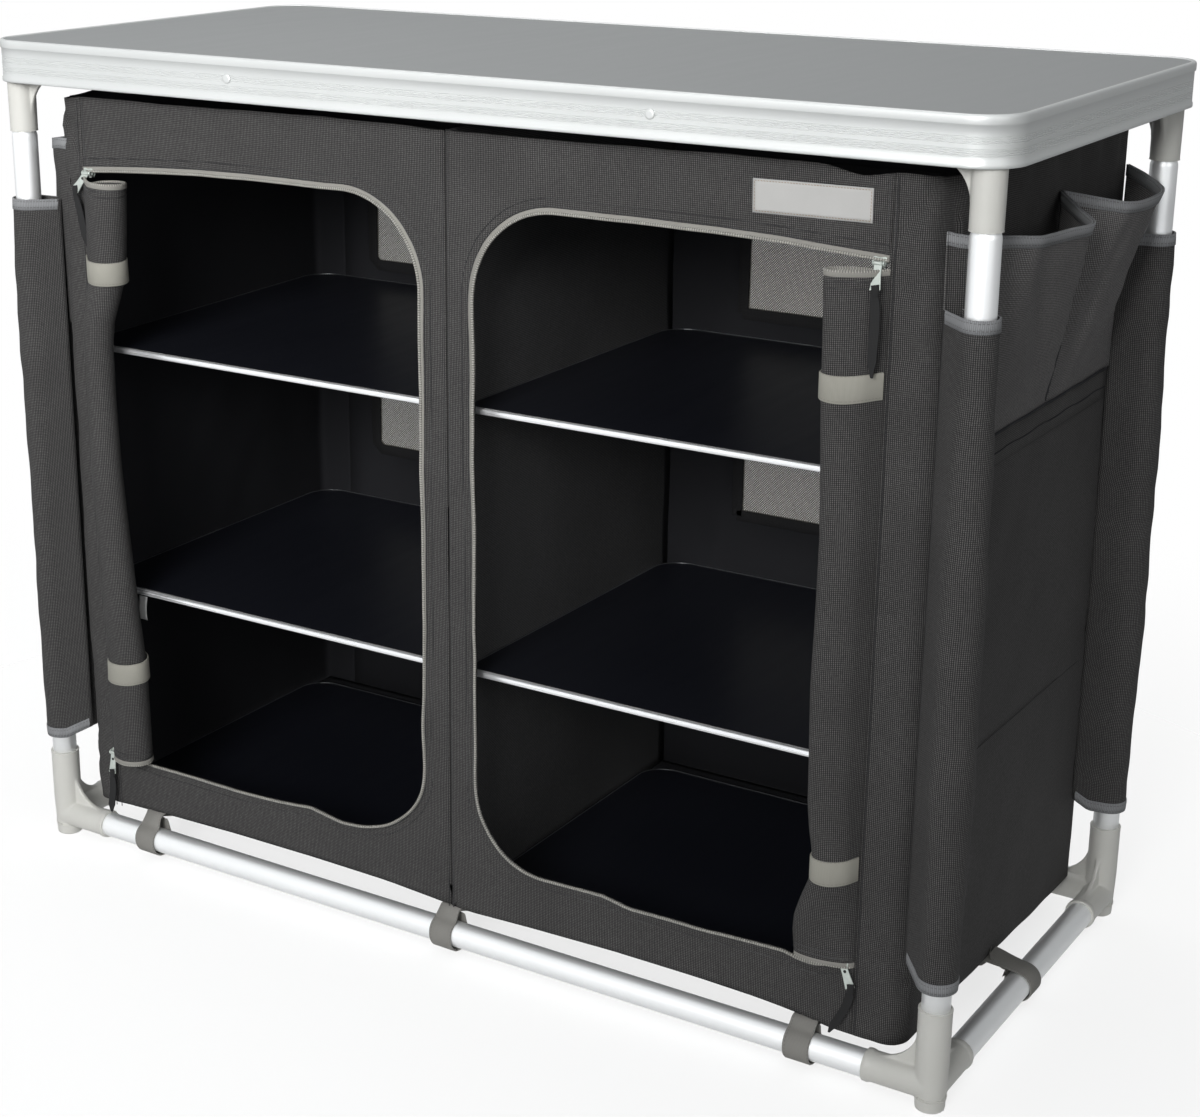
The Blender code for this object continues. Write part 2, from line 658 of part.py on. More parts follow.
def make_back_panel(parts, materials):
    """Make the back with its four net windows."""
    edge = SEAM_X - SEAT_GAP
    columns = [-edge, edge]
    rows = [BODY_BOTTOM, BODY_TOP - SEAT_GAP]
    for sign in SIDES.values():
        for x_low, x_high, z_low, z_high in window_boxes(sign):
            columns += [x_low, x_high]
            rows += [z_low, z_high]
    columns, rows = sorted(set(columns)), sorted(set(rows))
    y = BODY_HALF_DEPTH - CLOTH / 2
    points = [[(x, y, z) for x in columns] for z in rows]
    panel = loft("body_back_panel", points, CLOTH,
                 lambda row, column: row % 2 == 0 or column % 2 == 0)
    link(panel, parts, materials["lining"], smooth=False)


def net_lines(low, high, count, strand):
    """Give where strands and gaps change along one side of a window."""
    gap = (high - low - strand * (count - 1)) / count
    lines = [low]
    for i in range(count):
        lines.append(low + (gap + strand) * i + gap)
        lines.append(low + (gap + strand) * (i + 1))
    return lines[:-1]


def make_nets(parts, materials):
    """Make one net for each side, with its gaps over the two windows."""
    for side, sign in SIDES.items():
        windows = window_boxes(sign)
        x_low, x_high = windows[0][0], windows[0][1]
        columns = [x_low - NET_MARGIN] + net_lines(x_low, x_high, NET_COLUMNS, NET_STRAND)
        columns.append(x_high + NET_MARGIN)
        rows = [windows[0][2] - NET_MARGIN]
        for _, _, z_low, z_high in windows:
            rows += net_lines(z_low, z_high, NET_ROWS, NET_STRAND)
        rows.append(windows[-1][3] + NET_MARGIN)
        window_rows = 2 * NET_ROWS

        def keep(row, column, last=window_rows):
            in_window = (row % last) % 2 == 1
            return not (in_window and column % 2 == 1)

        y = BODY_HALF_DEPTH + SEAT_GAP + NET_THICKNESS / 2
        points = [[(x, y, z) for x in columns] for z in rows]
        net = loft(f"window_net_{side}", points, NET_THICKNESS, keep)
        link(net, parts, materials["net"], smooth=False)


def side_wall(side_sign):
    """Make one side of the body, wrapped round both corners to the seams."""
    middle_x = BODY_HALF_WIDTH - BODY_CORNER_RADIUS
    middle_y = BODY_HALF_DEPTH - BODY_CORNER_RADIUS

    def half_ring(inset):
        radius = BODY_CORNER_RADIUS - inset
        return ([(SEAM_X, -BODY_HALF_DEPTH + inset)]
                + arc((middle_x, -middle_y), radius, 270, 360)
                + arc((middle_x, middle_y), radius, 0, 90)
                + [(SEAM_X, BODY_HALF_DEPTH - inset)])

    outline = half_ring(0) + list(reversed(half_ring(CLOTH)))
    outline = [(side_sign * x, y) for x, y in outline]
    return plate("wall", [outline], BODY_BOTTOM, BODY_TOP - SEAT_GAP)


def make_sleeve(side_sign, end_sign):
    """Make the cloth sleeve round one leg, sewn to the body's corner."""
    corner = Vector((BODY_HALF_WIDTH - BODY_CORNER_RADIUS, -BODY_HALF_DEPTH + BODY_CORNER_RADIUS))
    sew = BODY_CORNER_RADIUS - SLEEVE_EMBED
    first, last = (corner + sew * Vector((math.cos(angle), math.sin(angle)))
                   for angle in SLEEVE_SEW_ANGLES)
    leg = Vector((LEG_X, -LEG_Y))

    def tangent(point, turn):
        away = point - leg
        lean = math.acos(SLEEVE_RADIUS / away.length)
        return math.atan2(away.y, away.x) + turn * lean

    start = tangent(first, 1)
    end = tangent(last, -1) + 2 * math.pi
    rows = []
    for r in range(SLEEVE_ROWS):
        share = r / (SLEEVE_ROWS - 1)
        bottom, top = SLEEVE_BOTTOM, SLEEVE_TOP
        height = bottom + (top - bottom) * share
        rise = SLEEVE_HEM_RISE * (1 - share)
        row = [(first.x, first.y, height + rise)]
        for i in range(SLEEVE_STEPS + 1):
            angle = start + (end - start) * i / SLEEVE_STEPS
            fold = math.sin(SLEEVE_FOLDS * angle + share * math.pi) * math.sin(share * math.pi)
            reach = SLEEVE_RADIUS + SLEEVE_FOLD * fold
            row.append((leg.x + reach * math.cos(angle), leg.y + reach * math.sin(angle), height))
        row.append((last.x, last.y, height + rise))
        rows.append([(side_sign * x, -end_sign * y, z) for x, y, z in row])
    return loft("sleeve", rows, CLOTH)


def make_sides(parts, materials):
    """Make both side panels with their leg sleeves."""
    for side, side_sign in SIDES.items():
        panel = side_wall(side_sign)
        panel.name = f"body_side_{side}"
        for end_sign in ENDS.values():
            join(panel, make_sleeve(side_sign, end_sign))
        link(panel, parts, materials["cloth"])


def make_divider(parts, materials):
    """Make the upright cloth between the two columns."""
    reach = BODY_HALF_DEPTH - CLOTH - SEAT_GAP
    divider = box("body_divider", (-CLOTH / 2, -reach, BODY_BOTTOM),
                  (CLOTH / 2, reach, BODY_TOP - SEAT_GAP))
    link(divider, parts, materials["lining"], smooth=False)


def loop_outline(rail, tip, flip, scale=1.0):
    """Give a webbing loop's outline round a rail, drawn out to its sewn tip."""
    radius = scale * (TUBE_RADIUS + SEAT_GAP + WEBBING)
    ring = arc((0, 0), radius, 0, 360, TUBE_SIDES)[:-1]
    offset = Vector(tip) - Vector(rail)
    half = LOOP_TIP_WIDTH / 2
    points = ring + [(scale * (offset.x + s * half), scale * offset.y) for s in (-1, 1)]
    hull = [points[i] for i in convex_hull_2d([Vector(p) for p in points])]
    return [(flip * (rail[0] + u), rail[1] + v) for u, v in hull]


def make_loop(name, place, rail_z, tip_z):
    """Make one webbing loop at a place: a wall's name, or front and back with an x."""
    wall, along = place
    inner = (TUBE_RADIUS + SEAT_GAP) / (TUBE_RADIUS + SEAT_GAP + WEBBING)
    if wall in ENDS:
        rail, tip = (LEG_Y, rail_z), (BODY_HALF_DEPTH - CLOTH, tip_z)
        flip, plane = ENDS[wall], "YZ"
    else:
        rail, tip = (LEG_X, rail_z), (BODY_HALF_WIDTH - CLOTH, tip_z)
        flip, plane = SIDES[wall], "XZ"
    loops = [loop_outline(rail, tip, flip), loop_outline(rail, tip, flip, inner)]
    return plate(name, loops, along - WEBBING_WIDTH / 2, along + WEBBING_WIDTH / 2, plane)


def loop_places():
    """Give the walls and the places along them that have a webbing loop."""
    places = {}
    for end in ENDS:
        for label, x in (("left", -LOOP_X), ("middle", 0), ("right", LOOP_X)):
            places[f"{end}_{label}"] = (end, x)
    for side in SIDES:
        places[side] = (side, 0)
    return places


def make_top_and_floor(parts, materials):
    """Make the cloth top and floor, and the webbing loops on the rails."""
    outline = rounded_rectangle(BODY_HALF_WIDTH, BODY_HALF_DEPTH, BODY_CORNER_RADIUS)
    top = plate("body_top_panel", [outline], BODY_TOP, BODY_TOP + CLOTH)
    for place in loop_places().values():
        join(top, make_loop("upper_loop", place, UPPER_RAIL_Z, BODY_TOP + CLOTH / 2))
    link(top, parts, materials["lining"], smooth=False)

    floor_top = BODY_BOTTOM - SEAT_GAP
    floor = plate("body_floor_panel", [outline], floor_top - CLOTH, floor_top)
    link(floor, parts, materials["lining"], smooth=False)
    for name, place in loop_places().items():
        loop = make_loop(f"rail_loop_{name}", place, LOWER_RAIL_Z, floor_top - CLOTH - SEAT_GAP)
        link(loop, parts, materials["webbing"])


def board_outline(side_sign, front):
    """Give a shelf's outline in one column, with round back corners."""
    near = CLOTH / 2 + SEAT_GAP
    far = BODY_HALF_WIDTH - CLOTH - SEAT_GAP
    back = BODY_HALF_DEPTH - CLOTH - SEAT_GAP
    radius = SHELF_CORNER_RADIUS
    points = [(near, front), (far, front)]
    points += arc((far - radius, back - radius), radius, 0, 90)
    points += arc((near + radius, back - radius), radius, 90, 180)
    return [(side_sign * x, y) for x, y in points]


def make_shelves(parts, materials):
    """Make the four shelves and the two floor boards."""
    for side, side_sign in SIDES.items():
        for level, height in zip(("middle", "upper"), SHELF_LEVELS):
            shelf = plate(f"shelf_{side}_{level}", [board_outline(side_sign, SHELF_FRONT_Y)],
                          height - SHELF_THICKNESS / 2, height + SHELF_THICKNESS / 2)
            xs = sorted(x for x, _ in board_outline(side_sign, SHELF_FRONT_Y))
            trim = box("trim", (xs[0] + SEAT_GAP, SHELF_FRONT_Y - SEAT_GAP, height - SHELF_EDGE_HEIGHT / 2),
                       (xs[-1] - SEAT_GAP, SHELF_FRONT_Y + SHELF_EDGE_DEPTH,
                        height + SHELF_EDGE_HEIGHT / 2))
            join(shelf, trim)
            link(shelf, parts, materials["shelf"], smooth=False)
        front = BODY_FRONT + BODY_CORNER_RADIUS
        floor = plate(f"floor_board_{side}", [board_outline(side_sign, front)],
                      BODY_BOTTOM, BODY_BOTTOM + SHELF_THICKNESS)
        link(floor, parts, materials["shelf"], smooth=False)


def roll_path(swell, offset=0.0):
    """Give the plan of the rolled right door: its sewn neck and its winding."""
    centre = Vector((ROLL_X, ROLL_Y))
    hinge = Vector((SEAM_X - HINGE_TO_SEAM, HINGE_Y))
    bend = Vector((BEND_X, HINGE_Y))
    away = bend - centre
    radius = ROLL_RADIUS * swell
    start = math.atan2(away.y, away.x) + math.acos(radius / away.length)
    neck = [hinge + Vector((HINGE_TAIL, 0)), bend]
    winding = []
    for i in range(round(ROLL_TURNS * ROLL_STEPS_A_TURN) + 1):
        turn = i / ROLL_STEPS_A_TURN
        angle = start + turn * 2 * math.pi
        reach = radius - ROLL_PITCH * turn + offset
        winding.append(centre + reach * Vector((math.cos(angle), math.sin(angle))))
    return neck, winding


def roll_levels():
    """Give heights up the roll with how far it swells there."""
    lower, upper = ROLL_STRAP_LEVELS
    half = WEBBING_WIDTH / 2
    swell = 1 - ROLL_SWELL_SHARE
    middle = (lower + upper) / 2
    return [(ROLL_BOTTOM - NECK_REACH, 1.0), (ROLL_BOTTOM, 1.0), (lower - half, swell),
            (lower + half, swell), (middle, 1.0), (upper - half, swell), (upper + half, swell),
            (ROLL_TOP, 1.0), (ROLL_TOP + NECK_REACH, 1.0)]


def make_doors(parts, materials):
    """Make both doors rolled up to the outer seam, with their two tie straps."""
    levels = roll_levels()
    ends = (0, len(levels) - 2)
    for side, side_sign in SIDES.items():
        rows = []
        for height, swell in levels:
            neck, winding = roll_path(swell)
            rows.append([(side_sign * p.x, p.y, height) for p in neck + winding])
        roll = loft(f"door_roll_{side}", rows, DOOR_CLOTH,
                    lambda row, column: row not in ends or column < 1)
        lift = (DOOR_CLOTH + WEBBING) / 2 - ROLL_STRAP_LAP
        for level in ROLL_STRAP_LEVELS:
            _, winding = roll_path(1 - ROLL_SWELL_SHARE, lift)
            turn = winding[1:ROLL_STEPS_A_TURN]
            band = [[(side_sign * p.x, p.y, level + s * WEBBING_WIDTH / 2) for p in turn]
                    for s in (-1, 1)]
            join(roll, loft("tie_strap", band, WEBBING))
        set_origin(roll, (side_sign * (SEAM_X - HINGE_TO_SEAM), HINGE_Y, ROLL_BOTTOM))
        link(roll, parts, materials["cloth"])


def pocket_row(flare, height):
    """Give one level across both pockets of the right side."""
    wall = BODY_HALF_WIDTH + SEAT_GAP + CLOTH / 2
    row = []
    for (y_low, y_high), reaches, alongs in POCKET_PLANS:
        count = len(reaches) - 1
        for i, (reach, along) in enumerate(zip(reaches, alongs)):
            flat = i / count
            share = flat + (along - flat) * flare
            sag = POCKET_RIM_SAG * reach * (1 if height == POCKET_TOP else 0)
            row.append((wall + POCKET_BULGE * reach * flare,
                        y_low + (y_high - y_low) * share, height - sag))
    return row


def make_pockets(parts, materials):
    """Make the pair of pleated pockets on each side."""
    count = len(POCKET_FLARE_SHARES) - 1
    for side, side_sign in SIDES.items():
        rows = [pocket_row(0.0, POCKET_BOTTOM)]
        for i in reversed(range(count + 1)):
            height = POCKET_TOP + (POCKET_SEAM - POCKET_TOP) * i / count
            rows.append(pocket_row(POCKET_FLARE_SHARES[i], height))
        rows = [[(side_sign * x, y, z) for x, y, z in row] for row in rows]
        pocket = loft(f"side_pockets_{side}", rows, CLOTH)
        link(pocket, parts, materials["cloth"])


def make_zip(parts, materials, level, side):
    """Make one zip slider on the door's edge and its pull tab with the ribbon."""
    upper = level == "upper"
    toward_door = -1 if upper else 1
    edge = (OPENING_TOP if upper else OPENING_BOTTOM) + toward_door * SLIDER_MARGIN
    x = SIDES[side] * SLIDER_X
    half = SLIDER_WIDTH / 2
    cloth_half = DOOR_CLOTH / 2 + SEAT_GAP
    front = HINGE_Y - cloth_half - SLIDER_PLATE
    back = HINGE_Y + cloth_half + SLIDER_PLATE
    low, high = sorted((edge, edge + toward_door * SLIDER_HEIGHT))
    mouth = edge + toward_door * (SLIDER_HEIGHT + OVERRUN)
    slot = sorted((mouth, edge + toward_door * (SLIDER_HEIGHT - SLIDER_GRIP - SEAT_GAP)))
    slider = box(f"zip_slider_{level}_{side}", (x - half, front, low), (x + half, back, high))
    cut(slider, box("slot", (x - half - OVERRUN, HINGE_Y - cloth_half, slot[0]),
                    (x + half + OVERRUN, HINGE_Y + cloth_half, slot[1])))
    pin = Vector((x, front - PIN_STANDOFF, (low + high) / 2))
    for end in (-1, 1):
        inner, outer = sorted((x + end * half, x + end * (half - LUG_WIDTH)))
        join(slider, box("lug", (inner, front - LUG_STANDOFF, pin.z - EYE_RADIUS),
                         (outer, front + SLIDER_PLATE / 2, pin.z + EYE_RADIUS)))
    reach = Vector((half - LUG_WIDTH / 2, 0, 0))
    join(slider, rod("pin", pin - reach, pin + reach, PIN_RADIUS, sides=TUBE_SIDES // 2))
    set_origin(slider, pin)
    link(slider, parts, materials["zip"], smooth=False)

    reach = Vector((half - LUG_WIDTH - SEAT_GAP, 0, 0))
    ribbon = UPPER_RIBBON_LENGTH if upper else LOWER_RIBBON_LENGTH
    tab_end = pin.z - TAB_LENGTH
    puller = rod(f"zip_puller_{level}_{side}", pin - reach, pin + reach, EYE_RADIUS,
                 sides=TUBE_SIDES // 2)
    tab = Vector((reach.x, TAB_THICKNESS / 2, 0))
    join(puller, box("tab", (*(pin - tab).xy, tab_end), pin + tab))
    cut(puller, rod("bore", pin - 2 * reach, pin + 2 * reach, EYE_BORE, sides=TUBE_SIDES // 2))
    band = Vector((RIBBON_WIDTH / 2, RIBBON_THICKNESS / 2, 0))
    join(puller, box("ribbon", (*(pin - band).xy, tab_end - ribbon),
                     (*(pin + band).xy, tab_end + RIBBON_LAP)))
    set_origin(puller, pin)
    link(puller, parts, materials["ribbon"], smooth=False)


def make_label(parts, materials):
    """Make the bare patch on the front's upper band."""
    back = BODY_FRONT - SEAT_GAP
    outline = rounded_rectangle(LABEL_WIDTH / 2, LABEL_HEIGHT / 2, LABEL_THICKNESS,
                                (LABEL_X, LABEL_Z))
    label = plate("label_patch", [outline], back - LABEL_THICKNESS, back, "XZ")
    link(label, parts, materials["label"], smooth=False)


def main():
    """Build the cupboard."""
    clear_scene()
    parts = new_collection(OBJECT_NAME)
    materials = make_materials()
    make_corners(parts, materials)
    make_legs(parts, materials)
    make_rails(parts, materials)
    make_worktop(parts, materials)
    make_front_panel(parts, materials)
    make_back_panel(parts, materials)
    make_nets(parts, materials)
    make_sides(parts, materials)
    make_divider(parts, materials)
    make_top_and_floor(parts, materials)
    make_shelves(parts, materials)
    make_doors(parts, materials)
    make_pockets(parts, materials)
    for level in ("upper", "lower"):
        for side in SIDES:
            make_zip(parts, materials, level, side)
    make_label(parts, materials)


main()
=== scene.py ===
"""Looks of a camp kitchen cupboard: a cloth body hung in a tube frame under a worktop.

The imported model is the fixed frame. Each class holds one sub-assembly's sizes in
metres and builds its meshes in the frame's own coordinates: X runs to the right,
Y to the back and Z up, with the origin on the ground under the worktop's middle.
"""

from __future__ import annotations

import logging
import math
from dataclasses import dataclass, field
from enum import Enum
from typing import Callable, Sequence

import bmesh
import bpy
import numpy as np
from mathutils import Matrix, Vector


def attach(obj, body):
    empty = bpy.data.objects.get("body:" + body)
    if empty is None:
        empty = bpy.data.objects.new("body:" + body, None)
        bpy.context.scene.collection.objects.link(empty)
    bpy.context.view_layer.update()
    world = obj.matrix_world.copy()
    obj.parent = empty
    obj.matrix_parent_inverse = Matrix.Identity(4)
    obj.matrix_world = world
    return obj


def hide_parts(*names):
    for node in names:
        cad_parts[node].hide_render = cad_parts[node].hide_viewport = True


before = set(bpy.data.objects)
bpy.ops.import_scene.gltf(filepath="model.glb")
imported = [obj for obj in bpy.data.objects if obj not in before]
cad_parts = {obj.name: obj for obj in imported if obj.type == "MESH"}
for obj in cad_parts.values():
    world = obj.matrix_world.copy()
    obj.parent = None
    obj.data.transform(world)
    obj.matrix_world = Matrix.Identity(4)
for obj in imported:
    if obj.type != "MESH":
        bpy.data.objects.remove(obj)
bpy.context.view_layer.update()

LOG = logging.getLogger("cupboard")
UV_NAME = "cloth"
TAU = 2 * math.pi
SOCKETS = {"specular_ior_level": "Specular IOR Level"}

LEG_X = 0.501
LEG_Y = 0.2135
TUBE_RADIUS = 0.0125
LOWER_RAIL_Z = 0.022
UPPER_RAIL_Z = 0.8262
LOOP_RADIUS = 0.0131
LOOP_WIDTH = 0.025

Colour = tuple[float, float, float]
Points = np.ndarray
Piece = bpy.types.Object
Material = bpy.types.Material


class Body(str, Enum):
    """The frame's bodies that pieces ride on."""

    FRAME = "frame"
    WORKTOP = "worktop"
    DOOR_LEFT = "door_left"
    DOOR_RIGHT = "door_right"


class Half(Enum):
    """One of two opposite places."""

    @property
    def word(self) -> str:
        """The place's name in lower case."""
        return self.name.lower()


class Side(Half):
    """The left and the right half, with the sign of their X."""

    LEFT = -1
    RIGHT = 1

    @property
    def door(self) -> Body:
        """The body of this side's door."""
        return Body.DOOR_LEFT if self is Side.LEFT else Body.DOOR_RIGHT


class End(Half):
    """The front and the back, with the sign of their Y."""

    FRONT = -1
    BACK = 1


# Shader maths


class Signal:
    """A shader socket that turns sums written on it into Math nodes."""

    def __init__(self, graph: NodeTree, socket: bpy.types.NodeSocket) -> None:
        """Hold the socket and the graph that it belongs to."""
        self.graph = graph
        self.socket = socket

    def _math(self, operation: str, first: object, second: object = 0.0) -> Signal:
        """Add one Math node.

        Args:
            operation: the node's operation.
            first: its first value or link.
            second: its second value or link.

        Returns:
            The node's result.
        """
        node = self.graph.node("ShaderNodeMath", {"operation": operation}, {0: first, 1: second})
        return Signal(self.graph, node.outputs[0])

    def __add__(self, other: object) -> Signal:
        """Return self + other."""
        return self._math("ADD", self, other)

    __radd__ = __add__

    def __sub__(self, other: object) -> Signal:
        """Return self - other."""
        return self._math("SUBTRACT", self, other)

    def __rsub__(self, other: object) -> Signal:
        """Return other - self."""
        return self._math("SUBTRACT", other, self)

    def __mul__(self, other: object) -> Signal:
        """Return self * other."""
        return self._math("MULTIPLY", self, other)

    __rmul__ = __mul__

    def __truediv__(self, other: object) -> Signal:
        """Return self / other."""
        return self._math("DIVIDE", self, other)

    def __pow__(self, other: object) -> Signal:
        """Return self to the power of other."""
        return self._math("POWER", self, other)

    def wave(self) -> Signal:
        """Return a wave from 0 to 1 with one crest for each whole step of self."""
        return self._math("COSINE", self * TAU) * 0.5 + 0.5

    def absolute(self) -> Signal:
        """Return self without its sign."""
        return self._math("ABSOLUTE", self)

    def larger(self, other: object) -> Signal:
        """Return the larger of self and other."""
        return self._math("MAXIMUM", self, other)

    def above(self, limit: float) -> Signal:
        """Return 1 where self is greater than a limit."""
        return self._math("GREATER_THAN", self, limit)

    def near(self, middle: float, width: float) -> Signal:
        """Return 1 within a distance of a value."""
        return self._math("LESS_THAN", (self - middle).absolute(), width)


class NodeTree:
    """A node tree with one way to add a node."""

    def __init__(self, tree: bpy.types.NodeTree) -> None:
        """Hold the tree."""
        self.tree = tree

    def node(
        self, kind: str, settings: dict | None = None, inputs: dict | None = None
    ) -> bpy.types.Node:
        """Add a node.

        Args:
            kind: the node's type.
            settings: properties that are set first.
            inputs: values or links by the socket's name or place.

        Returns:
            The new node.
        """
        node = self.tree.nodes.new(kind)
        for key, value in (settings or {}).items():
            setattr(node, key, value)
        for key, value in (inputs or {}).items():
            self.feed(node.inputs[key], value)
        return node

    def feed(self, socket: bpy.types.NodeSocket, value: object) -> None:
        """Link a signal to a socket, or set its value."""
        if isinstance(value, Signal):
            self.tree.links.new(value.socket, socket)
        elif isinstance(value, bpy.types.NodeSocket):
            self.tree.links.new(value, socket)
        else:
            socket.default_value = value


class Graph(NodeTree):
    """A material's node tree round its Principled surface."""

    def __init__(self, name: str) -> None:
        """Make a material with a Principled surface."""
        self.material = bpy.data.materials.new(name)
        self.material.use_nodes = True
        super().__init__(self.material.node_tree)
        self.surface = self.tree.nodes["Principled BSDF"]

    def split(self, vector: bpy.types.NodeSocket) -> tuple[Signal, Signal]:
        """Return a vector's first two parts."""
        parts = self.node("ShaderNodeSeparateXYZ", inputs={0: vector}).outputs
        return Signal(self, parts[0]), Signal(self, parts[1])

    def uv(self) -> tuple[Signal, Signal]:
        """Return the distances along a piece's own cloth, in metres."""
        return self.split(self.node("ShaderNodeUVMap", {"uv_map": UV_NAME}).outputs[0])

    def place(self) -> bpy.types.NodeSocket:
        """Return the object's own coordinates."""
        return self.node("ShaderNodeTexCoord").outputs["Object"]

    def noise(
        self, scale: float, detail: float = 2.0, stretch: Sequence[float] = (1, 1, 1)
    ) -> Signal:
        """Return smooth noise around 0.5 over the object's coordinates.

        Args:
            scale: how many patches fit in a metre.
            detail: how many octaves.
            stretch: how the coordinates are scaled first.

        Returns:
            The noise's factor.
        """
        mapped = self.node("ShaderNodeMapping", inputs={"Vector": self.place(), "Scale": stretch})
        inputs = {"Vector": mapped.outputs[0], "Scale": scale, "Detail": detail}
        return Signal(self, self.node("ShaderNodeTexNoise", inputs=inputs).outputs["Fac"])

    def mix(self, share: Signal, first: object, second: object) -> Signal:
        """Return a colour between two by a share."""
        node = self.node("ShaderNodeMix", {"data_type": "RGBA", "clamp_factor": True})
        self.feed(node.inputs[0], share)
        for socket, value in ((node.inputs[6], first), (node.inputs[7], second)):
            self.feed(socket, (*value, 1.0) if isinstance(value, tuple) else value)
        return Signal(self, node.outputs[2])

    def bump(self, height: Signal, depth: float, strength: float = 1.0) -> None:
        """Raise the surface by a height in shares of a depth."""
        node = self.node(
            "ShaderNodeBump",
            inputs={"Height": height, "Distance": depth, "Strength": strength},
        )
        self.feed(self.surface.inputs["Normal"], node.outputs[0])

    def dress(self, **values: object) -> Material:
        """Set the surface's sockets, with spaces for underscores, and return the material."""
        for key, value in values.items():
            if isinstance(value, tuple) and len(value) == 3:
                value = (*value, 1.0)
            self.feed(self.surface.inputs[SOCKETS.get(key, key.replace("_", " ").title())], value)
        return self.material


# Finishes


@dataclass(frozen=True)
class DottedCloth:
    """Charcoal polyester with a pale thread that shows as a fine grid of dots."""

    name: str = "dotted_charcoal_cloth"
    ground: Colour = (0.0118, 0.0113, 0.0114)
    thread: Colour = (0.162, 0.158, 0.155)
    pitch: float = 0.0017
    thread_depth: float = 0.00018

    def make(self) -> Material:
        """Make the material."""
        graph = Graph(self.name)
        along, across = graph.uv()
        warp = (along / self.pitch).wave()
        weft = (across / self.pitch).wave()
        dots = warp * weft * 0.70 + warp * 0.17
        wear = graph.noise(14, 3) * 0.5 + 0.75
        fleck = graph.noise(420, 1) * 0.9 + 0.55
        colour = graph.mix(dots * wear * fleck, self.ground, self.thread)
        ribs = (along / self.pitch * 2).wave() * 0.3 + (across / self.pitch * 2).wave() * 0.3
        graph.bump(ribs + dots * 0.6 + graph.noise(55, 2) * 1.2, self.thread_depth, 0.8)
        return graph.dress(base_color=colour, roughness=0.86, specular_ior_level=0.22)


@dataclass(frozen=True)
class PlainCloth:
    """Plain woven cloth of one colour, with fine ribs."""

    name: str
    ground: Colour
    light: Colour
    pitch: float = 0.0012
    thread_depth: float = 0.00012
    roughness: float = 0.85

    def make(self) -> Material:
        """Make the material."""
        graph = Graph(self.name)
        along, across = graph.uv()
        weave = (along / self.pitch).wave() * (across / self.pitch).wave()
        shade = graph.noise(9, 4) * 0.7 + weave * 0.35
        graph.bump(weave + graph.noise(70, 2) * 1.4, self.thread_depth, 0.7)
        return graph.dress(base_color=graph.mix(shade, self.ground, self.light),
                           roughness=self.roughness, specular_ior_level=0.25)


@dataclass(frozen=True)
class RibbedWebbing:
    """Woven tape with ribs across it and a sewn line near each edge."""

    name: str
    ground: Colour
    light: Colour
    rib: float = 0.0016
    rib_depth: float = 0.00025
    width: float = 0.010
    stitch_inset: float = 0.0022
    stitch: Colour = (0.10, 0.10, 0.10)

    def make(self) -> Material:
        """Make the material."""
        graph = Graph(self.name)
        along, across = graph.uv()
        ribs = (along / self.rib).wave()
        colour = graph.mix(ribs * 0.6 + graph.noise(30, 3) * 0.5, self.ground, self.light)
        line = across.near(self.stitch_inset, 0.0003) + across.near(
            self.width - self.stitch_inset, 0.0003)
        dash = (along / 0.0032).wave().above(0.35)
        graph.bump(ribs + (across / 0.0011).wave() * 0.5 - line * 0.8, self.rib_depth, 0.8)
        return graph.dress(base_color=graph.mix(line * dash * 0.75, colour, self.stitch),
                           roughness=0.8, specular_ior_level=0.3)


@dataclass(frozen=True)
class Thread:
    """Sewing thread laid as stitches with short gaps."""

    name: str = "black_thread"
    colour: Colour = (0.012, 0.012, 0.013)
    under: Colour = (0.035, 0.034, 0.034)
    stitch: float = 0.0034

    def make(self) -> Material:
        """Make the material."""
        graph = Graph(self.name)
        along, _ = graph.uv()
        gap = (along / self.stitch).wave()
        graph.bump(gap, 0.0003, 0.8)
        return graph.dress(base_color=graph.mix(gap.above(0.88), self.colour, self.under),
                           roughness=0.6)


@dataclass(frozen=True)
class ZipTeeth:
    """A moulded zip coil, with a tooth at each step along it."""

    name: str = "grey_zip_coil"
    ground: Colour = (0.10, 0.098, 0.090)
    tooth: Colour = (0.42, 0.41, 0.37)
    step: float = 0.0022

    def make(self) -> Material:
        """Make the material."""
        graph = Graph(self.name)
        along, _ = graph.uv()
        teeth = (along / self.step).wave()
        graph.bump(teeth, 0.0005, 0.9)
        share = teeth * 0.75 + graph.noise(60, 2) * 0.35
        return graph.dress(base_color=graph.mix(share, self.ground, self.tooth), roughness=0.5)


@dataclass(frozen=True)
class SatinAluminium:
    """Anodised aluminium, drawn along one axis of its own coordinates."""

    name: str
    colour: Colour = (0.93, 0.94, 0.94)
    dull: Colour = (0.87, 0.88, 0.88)
    roughness: float = 0.42
    grain: Sequence[float] = (1, 1, 0.01)
    metallic: float = 0.60
    streak: float = 1.0

    def make(self) -> Material:
        """Make the material."""
        graph = Graph(self.name)
        streaks = graph.noise(420, 3, self.grain) * self.streak
        patches = graph.noise(7, 3)
        rough = streaks * 0.10 + patches * 0.12 + (self.roughness - 0.06 - 0.05 * self.streak)
        graph.bump(streaks, 0.00004, 0.5)
        return graph.dress(base_color=graph.mix(patches, self.dull, self.colour),
                           roughness=rough, metallic=self.metallic)


